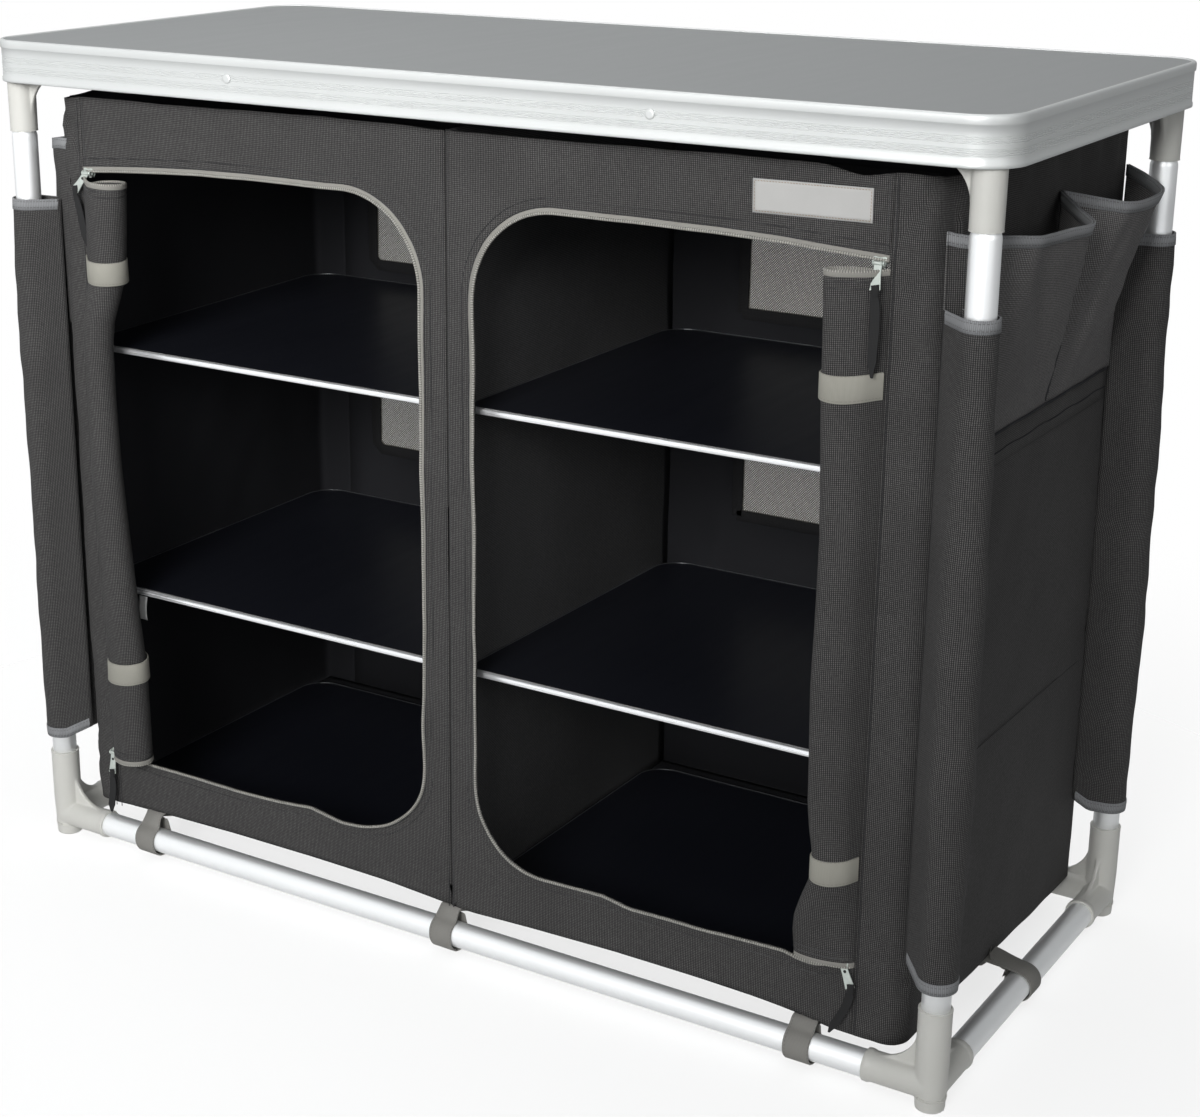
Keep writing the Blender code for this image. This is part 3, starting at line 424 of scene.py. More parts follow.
@dataclass(frozen=True)
class MouldedPlastic:
    """Warm grey nylon with a fine spark texture and faint flow marks."""

    name: str = "warm_grey_moulding"
    ground: Colour = (0.56, 0.555, 0.518)
    light: Colour = (0.66, 0.655, 0.618)
    roughness: float = 0.42

    def make(self) -> Material:
        """Make the material."""
        graph = Graph(self.name)
        grain = graph.noise(900, 2)
        flow = graph.noise(16, 4)
        graph.bump(grain, 0.00008, 0.5)
        return graph.dress(base_color=graph.mix(flow * 0.9 + grain * 0.1, self.ground, self.light),
                           roughness=flow * 0.15 + (self.roughness - 0.07))


@dataclass(frozen=True)
class Laminate:
    """Flat coated board with a fine grain."""

    name: str
    ground: Colour
    light: Colour
    roughness: float
    grain_scale: float = 700.0
    grain_depth: float = 0.00006
    scuffs: float = 0.25

    def make(self) -> Material:
        """Make the material."""
        graph = Graph(self.name)
        grain = graph.noise(self.grain_scale, 2)
        cloud = graph.noise(5, 4)
        scuff = graph.noise(60, 5, (1, 0.12, 1))
        graph.bump(grain, self.grain_depth, 0.5)
        share = grain * 0.55 + cloud * 0.25 + scuff * self.scuffs
        return graph.dress(base_color=graph.mix(share, self.ground, self.light),
                           roughness=scuff * 0.12 + cloud * 0.08 + (self.roughness - 0.1))


@dataclass(frozen=True)
class NetCloth:
    """Open beige net: strands round rows of round gaps."""

    name: str = "beige_net"
    strand: Colour = (0.095, 0.0915, 0.078)
    light: Colour = (0.185, 0.178, 0.154)
    pitch: float = 0.0026
    open_share: float = 0.30

    def make(self) -> Material:
        """Make the material."""
        graph = Graph(self.name)
        along, across = graph.uv()
        first = ((along + across) / self.pitch).wave()
        second = ((along - across) / self.pitch).wave()
        hole = (first * second).above(1 - self.open_share)
        solid = 1 - hole
        graph.bump(1 - first * second, 0.0003, 0.8)
        return graph.dress(base_color=graph.mix(graph.noise(300, 2), self.strand, self.light),
                           roughness=0.8, alpha=solid)


@dataclass(frozen=True)
class PlatedMetal:
    """Cast and plated zip metal with rubbed edges."""

    name: str = "plated_zip_metal"
    colour: Colour = (0.56, 0.60, 0.56)
    dull: Colour = (0.42, 0.46, 0.43)

    def make(self) -> Material:
        """Make the material."""
        graph = Graph(self.name)
        patches = graph.noise(260, 3)
        graph.bump(patches, 0.0001, 0.4)
        return graph.dress(base_color=graph.mix(patches, self.dull, self.colour),
                           roughness=patches * 0.2 + 0.32, metallic=0.45)


@dataclass(frozen=True)
class PatchCloth:
    """A bare silver-white patch with a sewn line round its edge."""

    name: str = "bare_patch"
    ground: Colour = (0.44, 0.436, 0.424)
    light: Colour = (0.53, 0.525, 0.512)
    line: Colour = (0.33, 0.26, 0.20)
    half: tuple[float, float] = (0.0525, 0.0138)
    inset: float = 0.0016

    def make(self) -> Material:
        """Make the material."""
        graph = Graph(self.name)
        along, across = graph.uv()
        weave = (along / 0.0007).wave() * (across / 0.0007).wave()
        side = (along - self.half[0]).absolute()
        rise = (across - self.half[1]).absolute()
        edge_u = side.near(self.half[0] - self.inset, 0.00035)
        edge_v = rise.near(self.half[1] - self.inset, 0.00035)
        inside_u = 1 - side.above(self.half[0] - self.inset)
        inside_v = 1 - rise.above(self.half[1] - self.inset)
        line = edge_u * inside_v + edge_v * inside_u
        dash = ((along + across) / 0.0026).wave().above(0.3)
        graph.bump(weave - line, 0.0002, 0.6)
        cloth = graph.mix(weave * 0.5 + graph.noise(40, 3) * 0.5, self.ground, self.light)
        return graph.dress(base_color=graph.mix(line * dash, cloth, self.line),
                           roughness=0.55, specular_ior_level=0.4)


class Finishes:
    """Every material of the cupboard, made once."""

    def __init__(self) -> None:
        """Make the materials."""
        self.cloth = DottedCloth().make()
        # Painted light: the pockets get a lighter copy of the dotted cloth, which stands in for
        # light shining through the thin cloth from inside.
        self.pocket_cloth = DottedCloth("dotted_pocket_cloth", (0.030, 0.0285, 0.029),
                                        (0.38, 0.37, 0.365)).make()
        self.inner_cloth = DottedCloth("dotted_inner_cloth", (0.024, 0.024, 0.025),
                                       (0.17, 0.17, 0.17)).make()
        self.lining = PlainCloth("black_lining", (0.0060, 0.0062, 0.0076),
                                 (0.017, 0.0174, 0.0205)).make()
        self.binding = RibbedWebbing("grey_binding", (0.15, 0.153, 0.157),
                                     (0.31, 0.316, 0.325)).make()
        self.dark_binding = RibbedWebbing("black_binding", (0.006, 0.006, 0.007),
                                          (0.014, 0.014, 0.015),
                                          stitch=(0.012, 0.012, 0.012)).make()
        self.loop = RibbedWebbing("grey_rail_loop", (0.16, 0.156, 0.145), (0.30, 0.292, 0.272),
                                  rib=0.0009, rib_depth=0.00008, width=0.025,
                                  stitch_inset=0.0014, stitch=(0.15, 0.148, 0.14)).make()
        self.strap = RibbedWebbing("beige_grey_strap", (0.225, 0.220, 0.190), (0.375, 0.366, 0.322),
                                   rib=0.0009, rib_depth=0.00008, width=0.0227,
                                   stitch_inset=0.0012, stitch=(0.24, 0.23, 0.20)).make()
        self.tape = PlainCloth("grey_zip_tape", (0.20, 0.195, 0.18), (0.34, 0.33, 0.30)).make()
        self.teeth = ZipTeeth().make()
        self.thread = Thread().make()
        self.tube = SatinAluminium("satin_tube").make()
        self.long_tube = SatinAluminium("satin_rail", grain=(0.01, 1, 1)).make()
        self.deep_tube = SatinAluminium("satin_side_rail", grain=(1, 0.01, 1)).make()
        self.rim = SatinAluminium("satin_rim", (0.635, 0.648, 0.640), (0.585, 0.598, 0.590), 0.48,
                                  (0.002, 0.002, 1), 0.45, 0.2).make()
        self.edge = SatinAluminium("bright_edge", (0.90, 0.91, 0.92), (0.84, 0.85, 0.86), 0.28,
                                   (0.01, 1, 1)).make()
        # Painted shade: a darker copy of the boards' aluminium trim, for the trim round the boards
        # that lies in the cupboard's shade; the shelves' front strips use the bright copy.
        self.thin_edge = SatinAluminium("dull_edge", (0.46, 0.47, 0.48), (0.34, 0.35, 0.36),
                                        0.36, (0.01, 1, 1), 0.9).make()
        self.plastic = MouldedPlastic().make()
        self.board = Laminate("grey_worktop", (0.260, 0.268, 0.268), (0.325, 0.334, 0.334),
                              0.5).make()
        self.shelf = Laminate("blue_black_shelf", (0.0060, 0.0068, 0.0105),
                              (0.0105, 0.0115, 0.0170), 0.38, grain_depth=0.00003,
                              scuffs=0.15).make()
        self.net = NetCloth().make()
        self.metal = PlatedMetal().make()
        self.steel = PlatedMetal("zinc_strip", (0.58, 0.59, 0.60), (0.42, 0.43, 0.44)).make()
        self.ribbon = PlainCloth("black_ribbon", (0.008, 0.008, 0.008),
                                 (0.030, 0.030, 0.031)).make()
        self.patch = PatchCloth().make()
        self.tag = PlainCloth("white_tag", (0.62, 0.62, 0.61), (0.78, 0.78, 0.77)).make()


# Mesh making


def show(name: str, data: bpy.types.ID) -> Piece:
    """Make an object of a mesh, lamp or camera and put it in the scene."""
    obj = bpy.data.objects.new(name, data)
    bpy.context.scene.collection.objects.link(obj)
    return obj


def read_points(mesh: bpy.types.Mesh) -> Points:
    """Give a mesh's vertices as rows of three."""
    co = np.zeros(len(mesh.vertices) * 3)
    mesh.vertices.foreach_get("co", co)
    return co.reshape(-1, 3)


def write_points(mesh: bpy.types.Mesh, points: Points) -> None:
    """Move a mesh's vertices to rows of three."""
    mesh.vertices.foreach_set("co", points.ravel())
    mesh.update()


def layers(*parts: np.ndarray) -> Points:
    """Join arrays of one value for each place into one of several values."""
    return np.stack(parts, axis=2)


def travelled(path: Points) -> np.ndarray:
    """Give the distance along a path at each of its points."""
    return np.concatenate([[0], np.cumsum(np.linalg.norm(np.diff(path, axis=0), axis=1))])


def length(path: Points) -> float:
    """Give a path's length."""
    return float(np.linalg.norm(np.diff(path, axis=0), axis=1).sum())


def normals(plan: Points) -> Points:
    """Give the unit vectors to the right of a flat path, one for each point."""
    step = np.gradient(plan, axis=0)
    normal = np.stack([step[:, 1], -step[:, 0]], axis=1)
    return normal / np.linalg.norm(normal, axis=1)[:, None]


def link_mesh(
    name: str, verts: np.ndarray, faces: list, uvs: list, material: Material
) -> Piece:
    """Make a mesh object with its own UV map in metres.

    Args:
        name: the piece's name.
        verts: one row of three for each vertex.
        faces: vertex indices for each face.
        uvs: a pair for each face corner, in the order of the faces.
        material: what it is dressed in.

    Returns:
        The new object.
    """
    mesh = bpy.data.meshes.new(name)
    mesh.from_pydata([tuple(v) for v in verts], [], faces)
    layer = mesh.uv_layers.new(name=UV_NAME)
    layer.data.foreach_set("uv", np.asarray(uvs, np.float32).ravel())
    mesh.materials.append(material)
    mesh.update()
    mesh.shade_smooth()
    mesh.set_sharp_from_angle(angle=math.radians(50))
    return show(name, mesh)


def grid_mesh(
    name: str,
    points: Points,
    material: Material,
    uv: Points | None = None,
    closed: bool = False,
    keep: Callable[[int, int], bool] | None = None,
    capped: bool = False,
) -> Piece:
    """Join a grid of points into a surface.

    Args:
        name: the piece's name.
        points: rows by columns by three.
        material: what it is dressed in.
        uv: rows by columns by two, in metres, or None to measure along the grid.
        closed: whether the last column joins the first.
        keep: says which faces are kept, by row and column.
        capped: whether the first and last rows are filled.

    Returns:
        The new object.
    """
    rows, columns = points.shape[:2]
    if uv is None:
        ring = np.concatenate([points, points[:, :1]], axis=1) if closed else points
        across = np.linalg.norm(np.diff(ring, axis=1), axis=2)
        up = np.linalg.norm(np.diff(ring, axis=0), axis=2)
        u = np.concatenate([np.zeros((rows, 1)), np.cumsum(across, axis=1)], axis=1)
        v = np.concatenate([np.zeros((1, ring.shape[1])), np.cumsum(up, axis=0)], axis=0)
        uv = layers(u, v)
    faces, corners = [], []
    last = columns if closed else columns - 1
    for r in range(rows - 1):
        for c in range(last):
            if keep and not keep(r, c):
                continue
            n = (c + 1) % columns
            faces.append((r * columns + c, r * columns + n, (r + 1) * columns + n,
                          (r + 1) * columns + c))
            corners += [uv[r, c], uv[r, c + 1], uv[r + 1, c + 1], uv[r + 1, c]]
    if capped:
        for r, order in ((0, range(columns - 1, -1, -1)), (rows - 1, range(columns))):
            faces.append(tuple(r * columns + c for c in order))
            corners += [uv[r, c] for c in order]
    return link_mesh(name, points.reshape(-1, 3), faces, corners, material)


def block(name: str, rows: Points, material: Material) -> Piece:
    """Join closed outlines, one row of points for each, into a solid."""
    return grid_mesh(name, rows, material, closed=True, capped=True)


def thicken(obj: Piece, thickness: float, offset: float = 0.0) -> Piece:
    """Give a sheet a thickness, in metres, on one side of it or on both."""
    solid = obj.modifiers.new("thickness", "SOLIDIFY")
    solid.thickness = thickness
    solid.offset = offset
    solid.use_even_offset = False
    return obj


def line_inside(obj: Piece, lining: Material, side: int) -> None:
    """Give a thickened side wall a lining on the face that looks to the middle.

    Args:
        obj: the wall, with one material and a Solidify modifier.
        lining: the inner face's material.
        side: the sign of the wall's X.
    """
    mesh = obj.data
    mesh.materials.append(lining)
    outward = sum(face.normal.x * face.area for face in mesh.polygons) * side > 0
    mesh.polygons.foreach_set("material_index", [int(not outward)] * len(mesh.polygons))
    solid = obj.modifiers[-1]
    solid.material_offset = 1 if outward else -1
    solid.material_offset_rim = 0 if outward else -1


def weld(obj: Piece, distance: float) -> None:
    """Join a piece's vertices that lie within a distance."""
    obj.modifiers.new("join", "WELD").merge_threshold = distance


def soften(obj: Piece, width: float) -> Piece:
    """Round a piece's sharp edges."""
    bevel = obj.modifiers.new("soft_edges", "BEVEL")
    bevel.width = width
    bevel.segments = 2
    bevel.limit_method = "ANGLE"
    bevel.angle_limit = math.radians(40)
    return obj


def sweep(
    name: str,
    path: Points,
    section: Sequence[tuple[float, float]],
    outward: Points,
    material: Material,
) -> Piece:
    """Run a closed section along a path.

    Args:
        name: the piece's name.
        path: the points it follows.
        section: pairs of (along the outward direction, across it).
        outward: one direction for all points, or one for each.
        material: what it is dressed in.

    Returns:
        The new object.
    """
    path = np.asarray(path, float)
    tangent = np.gradient(path, axis=0)
    tangent /= np.linalg.norm(tangent, axis=1)[:, None]
    out = np.broadcast_to(np.asarray(outward, float), path.shape).copy()
    out -= (out * tangent).sum(1)[:, None] * tangent
    out /= np.linalg.norm(out, axis=1)[:, None]
    across = np.cross(tangent, out)
    shape = np.asarray(section, float)
    points = (path[:, None] + shape[None, :, :1] * out[:, None]
              + shape[None, :, 1:] * across[:, None])
    around = travelled(np.vstack([shape, shape[:1]]))
    uv = layers(*np.meshgrid(travelled(path), around, indexing="ij"))
    return grid_mesh(name, points, material, uv, closed=True, capped=True)


def sew(path: Points, out: Points, finishes: Finishes, radius: float = 0.00045) -> Piece:
    """Lay one sewn line along a path."""
    return sweep("stitch", path, disc(radius, 5), out, finishes.thread)


def disc(radius: float, sides: int = 8, flat: float = 1.0) -> list[tuple[float, float]]:
    """Give a round section, or an oval one that is flat along its first axis."""
    return [(flat * radius * math.cos(TAU * i / sides), radius * math.sin(TAU * i / sides))
            for i in range(sides)]


def strip(thickness: float, width: float) -> list[tuple[float, float]]:
    """Give a flat tape's section with slightly rounded edges, standing on its path."""
    t, w = thickness, width / 2
    return [(0, -w), (t * 0.6, -w), (t, -w + t * 0.6), (t, w - t * 0.6), (t * 0.6, w), (0, w)]


def revolve(
    name: str, profile: Sequence[tuple[float, float]], material: Material,
    segments: int = 40,
) -> Piece:
    """Turn a profile of radius and height, from the bottom up, about Z."""
    shape = np.asarray(profile, float)
    angles = np.arange(segments) * TAU / segments
    points = np.stack([np.outer(shape[:, 0], np.cos(angles)), np.outer(shape[:, 0], np.sin(angles)),
                       np.repeat(shape[:, 1:], segments, axis=1)], axis=2)
    return block(name, points, material)


def move(
    obj: Piece, offset: Sequence[float], axis: str | None = None
) -> Piece:
    """Lay a piece drawn about Z along another axis, and carry it to its place."""
    co = read_points(obj.data)
    if axis == "X":
        co = co[:, [2, 0, 1]]
    elif axis == "Y":
        co = co[:, [1, 2, 0]]
    write_points(obj.data, co + np.asarray(offset, float))
    return obj


def merge(name: str, *pieces: Piece) -> Piece:
    """Join several plain pieces into one mesh, keeping their materials and UVs."""
    target = bmesh.new()
    materials: list[Material] = []
    graph = bpy.context.evaluated_depsgraph_get()
    for piece in pieces:
        mesh = bpy.data.meshes.new_from_object(piece.evaluated_get(graph))
        start = len(target.faces)
        target.from_mesh(mesh)
        target.faces.ensure_lookup_table()
        for face in target.faces[start:]:
            material = mesh.materials[face.material_index]
            if material not in materials:
                materials.append(material)
            face.material_index = materials.index(material)
        bpy.data.meshes.remove(mesh)
        bpy.data.objects.remove(piece, do_unlink=True)
    mesh = bpy.data.meshes.new(name)
    target.to_mesh(mesh)
    target.free()
    for material in materials:
        mesh.materials.append(material)
    return show(name, mesh)


def ripple(
    u: np.ndarray, v: np.ndarray, seed: int, longest: float = 0.5, waves: int = 7
) -> np.ndarray:
    """Give smooth seeded undulation between about -1 and 1.

    Args:
        u: distance one way, in metres.
        v: distance the other way, in metres.
        seed: which pattern.
        longest: the longest wave, in metres.
        waves: how many waves are added up.

    Returns:
        The height at each place.
    """
    rng = np.random.default_rng(seed)
    total = np.zeros(np.broadcast(u, v).shape)
    for i in range(waves):
        length = longest / (1 + i * 0.8)
        angle = rng.uniform(0, TAU)
        total = total + np.sin((u * math.cos(angle) + v * math.sin(angle)) * TAU / length
                               + rng.uniform(0, TAU)) / (1 + i * 0.8)
    return total / 2.2


def bumpy(x: np.ndarray, middle: float, width: float) -> np.ndarray:
    """Give a soft hump of height 1."""
    return np.exp(-((x - middle) / width) ** 2)


def arc(cx: float, cy: float, radius: float, start: float, end: float, steps: int) -> list:
    """Give points on an arc, with both ends, angles in degrees."""
    angles = np.radians(np.linspace(start, end, steps + 1))
    return [(cx + radius * math.cos(a), cy + radius * math.sin(a)) for a in angles]


def resample(path: Sequence[Sequence[float]], count: int) -> np.ndarray:
    """Spread points evenly along a path."""
    points = np.asarray(path, float)
    along = travelled(points)
    places = np.linspace(0, along[-1], count)
    return np.stack([np.interp(places, along, column) for column in points.T], axis=1)


def smooth_path(path: Sequence[Sequence[float]], count: int, passes: int = 3) -> np.ndarray:
    """Spread points along a path and round its corners."""
    points = resample(path, count)
    for _ in range(passes):
        points[1:-1] = (points[:-2] + 2 * points[1:-1] + points[2:]) / 4
    return points


def report(obj: Piece) -> None:
    """Say that a piece is made."""
    LOG.info("%s: %d faces", obj.name, len(obj.data.polygons))


def place(
    obj: Piece, body: Body | str, slot: str, *nodes: str
) -> Piece:
    """Hang a piece on its body.

    Args:
        obj: the piece.
        body: the body it rides on.
        slot: a material slot's name; not used.
        nodes: the CAD nodes that it stands for.

    Returns:
        The piece.
    """
    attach(obj, body.value if isinstance(body, Body) else body)
    if nodes:
        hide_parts(*nodes)
    report(obj)
    return obj


def tape_uv(band: Piece, width: float) -> None:
    """Scale a band's UV so that its height spans the tape's width."""
    layer = band.data.uv_layers[UV_NAME]
    uv = np.zeros(len(layer.data) * 2, np.float32)
    layer.data.foreach_get("uv", uv)
    uv = uv.reshape(-1, 2)
    uv[:, 1] *= width / max(float(uv[:, 1].max()), 1e-6)
    layer.data.foreach_set("uv", uv.ravel())


# The frame


@dataclass
class TubeFrame:
    """Legs, rails and the moulded corners that join them."""

    leg_x: float = LEG_X
    leg_y: float = LEG_Y
    radius: float = TUBE_RADIUS
    lower_rail_z: float = LOWER_RAIL_Z
    upper_rail_z: float = UPPER_RAIL_Z
    gap: float = 0.020
    leg_start: float = 0.034
    stub: float = 0.043
    arm: float = 0.060
    socket_top: float = 0.0955
    socket_bottom: float = 0.7572
    shoulder: float = 0.0032
    neck: float = 0.0110
    voxel: float = 0.0010

    def build(self, finishes: Finishes) -> None:
        """Build every tube and moulding."""
        self.tubes(finishes)
        self.mouldings(finishes)

    def tubes(self, finishes: Finishes) -> None:
        """Build the legs with their drawn-in necks, and the straight rails."""
        r, n = self.radius, self.neck
        mouth = self.socket_bottom
        profile = [(r - 0.001, self.leg_start), (r, self.leg_start + 0.001),
                   (r, mouth - self.shoulder - 0.002), (r - 0.0002, mouth - self.shoulder),
                   (r - 0.0008, mouth - 0.0014), (n + 0.0003, mouth - 0.0005),
                   (n, mouth + 0.0005), (n, mouth + self.stub)]
        for end in End:
            for side in Side:
                leg = revolve(f"leg_tube_{end.word}_{side.word}", profile, finishes.tube)
                move(leg, (side.value * self.leg_x, end.value * self.leg_y, 0))
                place(leg, Body.FRAME, "tube", f"leg_{end.word}_{side.word}")
        for level, height in (("lower", self.lower_rail_z), ("upper", self.upper_rail_z)):
            for end in End:
                self.rail(level, end.word, self.leg_x, (0, end.value * self.leg_y, height), "X",
                          finishes.long_tube)
            for side in Side:
                self.rail(level, side.word, self.leg_y, (side.value * self.leg_x, 0, height), "Y",
                          finishes.deep_tube)

    def rail(
        self, level: str, word: str, reach: float, middle: Sequence[float], axis: str,
        material: Material,
    ) -> None:
        """Build one straight rail between two corner mouldings.

        Args:
            level: lower or upper.
            word: the side or end that it is on.
            reach: how far the legs' axes lie from its middle.
            middle: where its middle is.
            axis: the axis that it lies along.
            material: what it is made of.
        """
        half = reach - self.gap
        rail = revolve(f"{level}_tube_{word}", [(self.radius, -half), (self.radius, half)],
                       material)
        place(move(rail, middle, axis), Body.FRAME, "tube", f"{level}_rail_{word}")

    def blank(self, shapes: Sequence[Piece]) -> bpy.types.Mesh:
        """Fuse rough shapes into one moulding with soft inner corners.

        Args:
            shapes: closed shapes, which are used up.

        Returns:
            The fused mesh.
        """
        obj = merge("moulding_blank", *shapes)
        remesh = obj.modifiers.new("fuse", "REMESH")
        remesh.mode = "VOXEL"
        remesh.voxel_size = self.voxel
        ease = obj.modifiers.new("ease", "SMOOTH")
        ease.factor = 0.5
        ease.iterations = 5
        thin = obj.modifiers.new("thin", "DECIMATE")
        thin.ratio = 0.16
        graph = bpy.context.evaluated_depsgraph_get()
        mesh = bpy.data.meshes.new_from_object(obj.evaluated_get(graph))
        bpy.data.objects.remove(obj, do_unlink=True)
        return mesh

    def web(self, finishes: Finishes, way: int, base: float, flat: bool) -> Piece:
        """Make the thin curved gusset in the corner between the socket and an arm.

        Args:
            finishes: the materials.
            way: 1 where the socket points up and -1 where it points down.
            base: the height of the arms' axis.
            flat: whether the gusset lies along X instead of Y.

        Returns:
            The gusset about the corner's own axis.
        """
        reach, thick = 0.037, 0.0021
        inner = 0.0138
        curve = arc(inner + reach, inner + reach, reach, 270, 180, 12)
        outline = [(0, 0), (inner + reach, 0)] + curve + [(0, inner + reach)]
        rows = np.array([[(u, -thick, base + way * v) for u, v in outline],
                         [(u, thick, base + way * v) for u, v in outline]])
        if not flat:
            rows = rows[:, :, [1, 0, 2]]
        return block("gusset", rows, finishes.plastic)

    def mouldings(self, finishes: Finishes) -> None:
        """Build one lower and one upper corner, and mirror each to its four places."""
        low, high = self.lower_rail_z, self.upper_rail_z
        for level, way, z, socket, arm in (
            ("lower", 1, low,
             [(0.0130, 0.0), (0.0138, low), (0.0146, low + 0.02), (0.0147, self.socket_top)],
             [(0.0146, 0.0), (0.0141, 0.010), (0.0140, self.arm - 0.006),
              (0.0150, self.arm - 0.005), (0.0150, self.arm)]),
            ("upper", -1, high,
             [(0.0134, self.socket_bottom), (0.0137, high - 0.03), (0.0137, high + 0.011)],
             [(0.0137, 0.0), (0.0137, self.arm)]),
        ):
            shapes = [revolve("socket", socket, finishes.plastic),
                      self.web(finishes, way, z, True), self.web(finishes, way, z, False)]
            shapes += [move(revolve("arm", arm, finishes.plastic), (0, 0, z), axis)
                       for axis in "XY"]
            blank = self.blank(shapes)
            for end in End:
                for side in Side:
                    self.moulding(finishes, level, blank, side, end)
            bpy.data.meshes.remove(blank)

    def moulding(
        self, finishes: Finishes, level: str, blank: bpy.types.Mesh, side: Side, end: End
    ) -> None:
        """Mirror a blank to one corner and put its rings on it."""
        mesh = blank.copy()
        co = read_points(mesh)
        flip = (-side.value, -end.value)
        co[:, 0] = side.value * self.leg_x + flip[0] * co[:, 0]
        co[:, 1] = end.value * self.leg_y + flip[1] * co[:, 1]
        co[:, 2] = np.maximum(co[:, 2], 0.0)
        write_points(mesh, co)
        if flip[0] * flip[1] < 0:
            mesh.flip_normals()
        mesh.update()
        mesh.materials.clear()
        mesh.materials.append(finishes.plastic)
        mesh.shade_smooth()
        name = f"{level}_moulding_{end.word}_{side.word}"
        parts = [show(name + "_core", mesh)]
        centre = (side.value * self.leg_x, end.value * self.leg_y, 0)
        if level == "lower":
            rings = [(self.socket_top - 0.0016, 0.0149, 0.0018), (0.0122, 0.0141, 0.0009),
                     (0.0102, 0.0139, 0.0009)]
        else:
            rings = [(self.socket_bottom, 0.0136, 0.0014)]
        for height, radius, tall in rings:
            inner, top = radius - 0.0012, height + tall
            ring = revolve("ring", [(inner, height), (radius, height + 0.0003),
                                    (radius, top - 0.0003), (inner, top)], finishes.plastic)
            parts.append(move(ring, centre))
        place(merge(name, *parts), Body.FRAME, "moulding", f"{level}_corner_{end.word}_{side.word}")


# The worktop


@dataclass
class Worktop:
    """The grey board, its grooved rim and the straps under it."""

    half_x: float = 0.525
    half_y: float = 0.2375
    top: float = 0.847
    height: float = 0.0405
    corner: float = 0.038
    lip: float = 0.0047
    recess: float = 0.0010
    board: float = 0.0052
    rivet_x: float = 0.220
    rivet_z: float = 0.8275
    rivet_rise: float = 0.0012
    strap_inset: float = 0.0093
    corner_steps: int = 14
    strap_drop: float = 0.0245

    def outline(self, inset: float) -> np.ndarray:
        """Give the rounded outline, moved in by an inset."""
        points: list = []
        for sx, sy, start in ((1, 1, 0), (-1, 1, 90), (-1, -1, 180), (1, -1, 270)):
            points += arc(sx * (self.half_x - self.corner), sy * (self.half_y - self.corner),
                          self.corner - inset, start, start + 90, self.corner_steps)
        return np.array(points)

    def profile(self) -> list[tuple[float, float]]:
        """Give the rim's section as insets and heights, with its beads and grooves."""
        top, base = self.top, self.top - self.height
        points = [(self.lip, top - 0.0012), (self.lip - 0.0004, top - 0.0003), (0.0034, top),
                  (0.0014, top - 0.0002), (0.0004, top - 0.0011), (0.0, top - 0.0026),
                  (0.0, top - 0.0072), (0.0003, top - 0.0082), (0.0012, top - 0.0090)]
        for start, count in ((0.0168, 4), (0.0262, 4)):
            for i in range(count):
                z = top - start - i * 0.0016
                points += [(0.0012, z + 0.0005), (0.0016, z + 0.0002), (0.0016, z - 0.0002),
                           (0.0012, z - 0.0005)]
        points += [(0.0012, base + 0.0046), (0.0005, base + 0.0038), (0.0004, base + 0.0010),
                   (0.0008, base + 0.0002), (0.0016, base), (0.0028, base), (0.0030, base + 0.0004),
                   (0.0030, self.top - 0.0079), (0.0085, self.top - 0.0079),
                   (0.0085, self.top - 0.0065), (self.lip, self.top - 0.0065)]
        return points

    def build(self, finishes: Finishes) -> None:
        """Build the worktop."""
        profile = self.profile()
        rings = np.array([[(x, y, z) for x, y in self.outline(inset)] for inset, z in profile])
        rings = np.pad(rings, ((0, 1), (0, 1), (0, 0)), mode="wrap")
        rim = grid_mesh("rim_extrusion", rings.transpose(1, 0, 2), finishes.rim)
        weld(rim, 0.00001)
        place(rim, Body.WORKTOP, "rim", "tabletop_rim")

        edge = self.outline(self.lip + 0.0003)
        high = self.top - self.recess
        rows = np.array([[(x, y, z) for x, y in edge] for z in (high - self.board, high)])
        board = block("worktop_board", rows, finishes.board)
        soften(board, 0.0004)
        place(board, Body.WORKTOP, "board", "tabletop_board")
        for side in Side:
            self.strap(finishes, side)

    def strap(self, finishes: Finishes, side: Side) -> None:
        """Build one strap under the board with its domed rivets."""
        x = side.value * self.rivet_x
        reach, under = self.half_y - self.strap_inset, self.top - 0.0065
        foot = under - self.strap_drop
        path = [(x, -reach, foot), (x, -reach, under - 0.001), (x, -reach + 0.001, under),
                (x, reach - 0.001, under), (x, reach, under - 0.001), (x, reach, foot)]
        out = [(0, 1, 0), (0, 0.7, -0.7), (0, 0.3, -1), (0, -0.3, -1), (0, -0.7, -0.7), (0, -1, 0)]
        parts = [sweep("strap", np.array(path), strip(0.0014, 0.040), np.array(out, float),
                       finishes.steel)]
        dome = [(0.0043, 0.0), (0.0045, 0.0004), (0.0041, 0.0010), (0.0028, 0.0018),
                (0.0012, 0.0022), (0.0002, 0.0023)]
        for end in End:
            rivet = move(revolve("rivet", dome, finishes.rim, 20), (0, 0, 0), "Y")
            co = read_points(rivet.data)
            raised = np.minimum(co[:, 1], self.rivet_rise)
            co[:, 1] = end.value * (self.half_y - self.rivet_rise + raised)
            write_points(rivet.data, co + (x, 0, self.rivet_z))
            if end is End.FRONT:
                rivet.data.flip_normals()
            parts.append(rivet)
        obj = merge(f"board_strap_{side.word}", *parts)
        place(obj, Body.WORKTOP, "steel", f"board_stretcher_{side.word}")


# The cloth body


